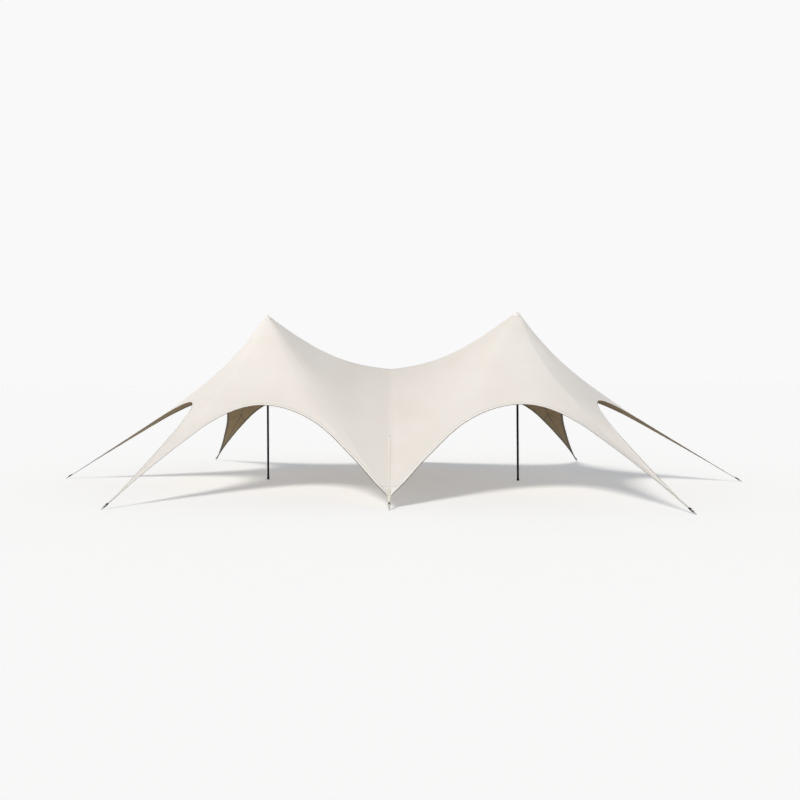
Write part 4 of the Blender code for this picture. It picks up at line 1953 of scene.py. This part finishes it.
@dataclass
class Ratchet:
    """A closed ratchet, +X up the strap, from the bolt that holds it to its anchor."""

    start: float = 75.3 * MM        # up the line from the anchor's foot
    length: float = 118.0 * MM
    width: float = 46.0 * MM
    plate: float = 2.5 * MM
    frame_height: float = 18.0 * MM
    bridge_length: float = 14.0 * MM
    bridge_back: float = 26.0 * MM  # from the frame's far end
    bridge_z: float = -6.0 * MM
    bolt_x: float = 10.0 * MM
    bolt_radius: float = 4.0 * MM
    nut_radius: float = 6.5 * MM
    nut_height: float = 4.0 * MM
    drum_x: float = 52.0 * MM
    drum_z: float = 6.0 * MM
    drum_radius: float = 7.0 * MM
    drum_beyond: float = 8.0 * MM   # of its length, more than the frame's width
    wheel_radius: float = 15.0 * MM
    wheel_height: float = 3.0 * MM
    wheel_aside: float = 1.8 * MM   # from the frame's side
    teeth: int = 13
    tooth_root: float = 0.78        # of the wheel's radius
    corner_shift: float = 0.25      # keeps corner numbers, which are halves, from rounding either way
    wound_radius: float = 15.5 * MM
    wound_play: float = 8.0 * MM    # between the roll and the frame
    turns: int = 3                  # of webbing that show on the roll's ends
    turn_width: float = 1.6 * MM
    turn_slope: float = 0.3 * MM
    turn_step: float = 0.5 * MM
    handle_tilt: float = math.radians(3.0)
    handle_size: Pair = (70.0 * MM, 15.0 * MM)      # length and height
    handle_middle: Pair = (27.0 * MM, 4.0 * MM)     # from the hinge, along and up
    handle_play: float = 0.4 * MM
    grip_size: Triple = (24.0 * MM, 40.0 * MM, 9.0 * MM)
    grip_middle: Triple = (50.0 * MM, 0.0, 7.0 * MM)
    grip_round: float = 4.0 * MM
    release_radius: float = 3.0 * MM
    release_length: float = 38.0 * MM
    release_place: Pair = (26.0 * MM, 3.0 * MM)
    rounding: float = 0.5 * MM

    def frame(self) -> Iterator[Piece]:
        """Make the frame, which the bolt closes.

        Returns:
            Two side plates and the bridge between them.
        """
        for side in SIDES:
            yield side_plate("frame", (self.length, self.plate, self.frame_height),
                             (0.5 * self.length, side * 0.5 * (self.width - self.plate), 0.0))
        yield block("bridge", (self.bridge_length, self.width - 2.0 * self.plate, self.plate),
                    (self.length - self.bridge_back, 0.0, self.bridge_z))

    def bolt(self) -> Iterator[Piece]:
        """Make the bolt.

        Returns:
            The bolt, its head and its nut.
        """
        yield cross_rod("bolt", self.bolt_radius, self.width + self.nut_height, self.bolt_x, 0.0)
        for side in SIDES:
            nut = cross_rod("nut", self.nut_radius, self.nut_height, self.bolt_x, 0.0, sides=6)
            yield moved(nut, Matrix.Translation((0.0, side * 0.5 * (self.width + self.nut_height), 0.0)))

    def wheel(self, y: float) -> Piece:
        """Make a toothed wheel, with every other corner of its rim drawn in.

        Args:
            y: Where it is, across the strap.

        Returns:
            The wheel.
        """
        wheel = cross_rod("wheel", self.wheel_radius, self.wheel_height, self.drum_x, self.drum_z,
                          2 * self.teeth)
        centre = Vector((self.drum_x, 0.0, self.drum_z))
        shape = bmesh.new()
        shape.from_mesh(wheel.data)
        for vert in shape.verts:
            spoke = vert.co - centre
            turn = math.atan2(spoke.z, spoke.x) % math.tau
            if round(turn / math.tau * 2.0 * self.teeth - self.corner_shift) % 2:
                vert.co = centre + Vector((spoke.x * self.tooth_root, spoke.y, spoke.z * self.tooth_root))
        shape.to_mesh(wheel.data)
        shape.free()
        return moved(wheel, Matrix.Translation((0.0, y, 0.0)))

    def drum(self) -> Iterator[Piece]:
        """Make the drum.

        Returns:
            The drum, and a wheel at each end.
        """
        yield cross_rod("drum", self.drum_radius, self.width + self.drum_beyond, self.drum_x, self.drum_z)
        for side in SIDES:
            yield self.wheel(side * (0.5 * self.width + self.wheel_aside))

    def handle(self) -> Iterator[Piece]:
        """Make the handle, folded down.

        Returns:
            Two arms inside the frame, a rolled grip and the release bar.
        """
        hinge = Matrix.Translation((self.drum_x, 0.0, self.drum_z))
        place = hinge @ Matrix.Rotation(self.handle_tilt, 4, "Y")
        (length, height), (along, up) = self.handle_size, self.handle_middle
        for side in SIDES:
            y = side * (0.5 * self.width - 1.5 * self.plate - self.handle_play)
            yield moved(side_plate("handle_arm", (length, self.plate, height), (along, y, up)), place)
        grip = block("grip", self.grip_size, self.grip_middle)
        round_edges(grip, self.grip_round, segments=4)
        yield moved(grip, place)
        release = cross_rod(
            "release", self.release_radius, self.release_length, *self.release_place, sides=20)
        yield moved(release, place)

    def model(self) -> Piece:
        """Put all steel parts together.

        Returns:
            One piece, in the arm's frame.
        """
        whole = joined("ratchet_model", *self.frame(), *self.bolt(), *self.drum(), *self.handle())
        round_edges(whole, self.rounding)
        smooth(whole)
        return moved(dress(whole, Look.RATCHET), Matrix.Translation((self.start, 0.0, 0.0)))

    def wound(self) -> Piece:
        """Wind webbing on the drum, with a step for each turn.

        Returns:
            The roll, in the arm's frame.
        """
        width = self.width - 2.0 * self.plate - self.wound_play
        roll = cross_rod("wound_model", self.wound_radius, width, self.drum_x, self.drum_z, sides=40)
        with editing(roll):
            pick(roll, lambda face: abs(face.normal.y) > AXIAL)
            for _ in range(self.turns):
                bpy.ops.mesh.inset(thickness=self.turn_width, depth=0.0, use_individual=True)
                bpy.ops.mesh.inset(thickness=self.turn_slope, depth=-self.turn_step, use_individual=True)
        smooth(roll)
        return moved(dress(roll, Look.PULL_WEBBING), Matrix.Translation((self.start, 0.0, 0.0)))


@dataclass
class GroundAnchor:
    """A zinc-plated rod that comes up out of the ground along the strap, with a collar and an eye."""

    radius: float = 8.0 * MM
    below: float = 60.0 * MM        # the ground, more than any arm needs
    reach: float = 70.0 * MM
    eye_radius: float = 13.0 * MM
    eye_wire: float = 5.0 * MM
    collar_radius: float = 13.0 * MM
    collar_start: float = 42.0 * MM
    collar_length: float = 4.0 * MM
    collar_slope: float = 1.0 * MM
    end_length: float = 6.0 * MM    # over which the rod narrows to its end
    end_share: float = 0.6          # of its radius
    rounding: float = 0.5 * MM

    def model(self) -> Piece:
        """Make the rod along +X.

        Returns:
            The rod with its collar and eye.
        """
        collar = self.collar_start + self.collar_slope
        collar_end = collar + self.collar_length
        upright = turned_up("rod", [
            (self.radius, -self.below), (self.radius, self.collar_start), (self.collar_radius, collar),
            (self.collar_radius, collar_end), (self.radius, collar_end + self.collar_slope),
            (self.radius, self.reach - self.end_length), (self.end_share * self.radius, self.reach),
        ], sides=32)
        moved(upright, Matrix.Rotation(QUARTER_TURN, 4, "Y"))
        take()
        bpy.ops.mesh.primitive_torus_add(
            location=(self.reach + self.eye_radius, 0.0, 0.0), rotation=(QUARTER_TURN, 0.0, 0.0),
            major_radius=self.eye_radius, minor_radius=self.eye_wire, major_segments=40, minor_segments=16)
        rod = joined("anchor_model", upright, newest("eye"))
        round_edges(rod, self.rounding)
        smooth(rod)
        return dress(rod, Look.ZINC)

    @staticmethod
    def cut_at_ground(rod: Piece) -> Piece:
        """Cut a rod in its place off level with the ground, and close it.

        Args:
            rod: The rod.

        Returns:
            The rod.
        """
        with editing(rod):
            bpy.ops.mesh.select_all(action="SELECT")
            bpy.ops.mesh.bisect(plane_co=(0.0, 0.0, 0.0), plane_no=UP, use_fill=True, clear_inner=True)
        return rod


@dataclass
class Hardware:
    """The ratchets and the anchors of all eight arms."""

    form: CanopyForm

    def build(self) -> None:
        """Model each kind once and copy it to every arm."""
        ratchet, wound, anchor = Ratchet().model(), Ratchet().wound(), GroundAnchor().model()
        for arm in self.form.arms():
            place = arm.frame
            closed = copied(ratchet, f"{arm.name}_ratchet_set", place)
            hand_over(closed, "ratchet_steel", f"{arm.name}_ratchet")
            hand_over(copied(wound, f"{arm.name}_wound_webbing", place), "webbing")
            rod = GroundAnchor.cut_at_ground(copied(anchor, f"{arm.name}_ground_rod", place))
            hand_over(rod, "anchor_steel", f"{arm.name}_anchor")
        for model in (ratchet, wound, anchor):
            bpy.data.objects.remove(model, do_unlink=True)


# Studio

@dataclass
class Studio:
    """A pale floor, soft light from the upper left at the front, and the photograph's camera."""

    camera_place: Triple = (0.202, -19.661, 2.555)
    camera_turn: float = 0.0853         # to the left of +Y
    camera_roll: float = -0.0062
    lens: float = 34.31
    film: float = 36.0
    shift: Pair = (0.0832, -0.0239)
    floor_size: float = 900.0
    floor_drop: float = 1.0 * MM
    floor_colour: str = "#fcfcfc"
    floor_glow: float = 0.24            # the floor is lit from below as well, so shadows stay pale
    sun_travel: Triple = (0.447, 0.513, -0.733)
    sun_strength: float = 1.80
    sun_colour: Triple = (1.05, 1.0, 0.93)
    sun_angle: float = math.radians(17.0)
    sky_light: float = 1.8              # at the horizon; it fades out towards the zenith
    sky_fade: float = 2.0
    sky_colour: tuple[float, float, float, float] = (0.93, 1.0, 1.09, 1.0)
    backdrop: float = 0.947

    @staticmethod
    def place(name: str, data: bpy.types.ID, axes: Matrix) -> Piece:
        """Put a camera or a light in its place.

        Args:
            name: Its name.
            data: The camera or light.
            axes: Its place and its axes.

        Returns:
            Its object.
        """
        thing = bpy.data.objects.new(name, data)
        bpy.context.scene.collection.objects.link(thing)
        thing.matrix_world = axes
        return thing

    def camera(self) -> None:
        """Place the camera as the photograph's was."""
        ahead = Vector((-math.sin(self.camera_turn), math.cos(self.camera_turn), 0.0))
        level = Vector((math.cos(self.camera_turn), math.sin(self.camera_turn), 0.0))
        cosine, sine = math.cos(self.camera_roll), math.sin(self.camera_roll)
        data = bpy.data.cameras.new("camera")
        data.lens = self.lens
        data.sensor_width = self.film
        data.shift_x, data.shift_y = self.shift
        data.clip_end = 2.0 * self.floor_size
        axes = Matrix((level * cosine + UP * sine, UP * cosine - level * sine, -ahead)).transposed().to_4x4()
        axes.translation = self.camera_place
        bpy.context.scene.camera = self.place("camera", data, axes)

    def floor(self) -> None:
        """A pale, dull floor."""
        take()
        bpy.ops.mesh.primitive_plane_add(size=self.floor_size, location=(0.0, 0.0, -self.floor_drop))
        floor = bpy.context.active_object
        floor.name = "floor"
        pale = bpy.data.materials.new("floor_pale")
        pale.use_nodes = True
        set_inputs(pale.node_tree.nodes["Principled BSDF"], {
            "Base Color": linear(self.floor_colour), "Emission Color": (1.0, 1.0, 1.0, 1.0),
            "Emission Strength": self.floor_glow, "Roughness": 0.9, "Specular IOR Level": 0.0})
        floor.data.materials.append(pale)

    def light(self) -> None:
        """A broad sun and a sky that is bright low down; the sky shows as a bright backdrop."""
        data = bpy.data.lights.new("sun", "SUN")
        data.energy = self.sun_strength
        data.color = self.sun_colour
        data.angle = self.sun_angle
        self.place("sun", data, Vector(self.sun_travel).to_track_quat("-Z", "Y").to_matrix().to_4x4())
        world = bpy.data.worlds.new("sky")
        world.use_nodes = True
        bpy.context.scene.world = world
        tree = world.node_tree
        direction = add_node(tree, "TexCoord").outputs["Generated"]
        height = add_node(tree, "SeparateXYZ", {0: direction}).outputs["Z"]
        below = add_node(tree, "Math", {0: 1.0, 1: height}, operation="SUBTRACT", use_clamp=True)
        fade = add_node(tree, "Math", {0: below, 1: self.sky_fade}, operation="POWER")
        strength = add_node(tree, "Math", {0: fade, 1: self.sky_light}, operation="MULTIPLY")
        light = add_node(tree, "Background", {"Color": self.sky_colour, "Strength": strength})
        backdrop = add_node(tree, "Background", {"Color": (1.0, 1.0, 1.0, 1.0), "Strength": self.backdrop})
        seen = add_node(tree, "LightPath").outputs["Is Camera Ray"]
        add_node(tree, "MixShader", {0: seen, 1: light, 2: backdrop},
                 tree.nodes["World Output"].inputs["Surface"])

    def build(self) -> None:
        """Set up the studio."""
        self.camera()
        self.floor()
        self.light()
        bpy.context.scene.view_settings.view_transform = "Standard"


def main() -> None:
    """Build the tent piece by piece."""
    logging.basicConfig(level=logging.INFO, format="%(message)s")
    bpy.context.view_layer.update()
    Studio().build()
    form = CanopyForm()
    cloth = Sheet(form)
    sheet, face = cloth.build()
    sewing = Sewing(face)
    sewn = [piece for work in (HemWork, SeamWork, ArmWork) for piece in work(form, sewing).build()]
    for side in SIDES:
        sewn.append(PeakCap(form, side).build())
        Mast(side, side * form.net.mast_x).build()
    Hardware(form).build()


if __name__ == "__main__":
    main()
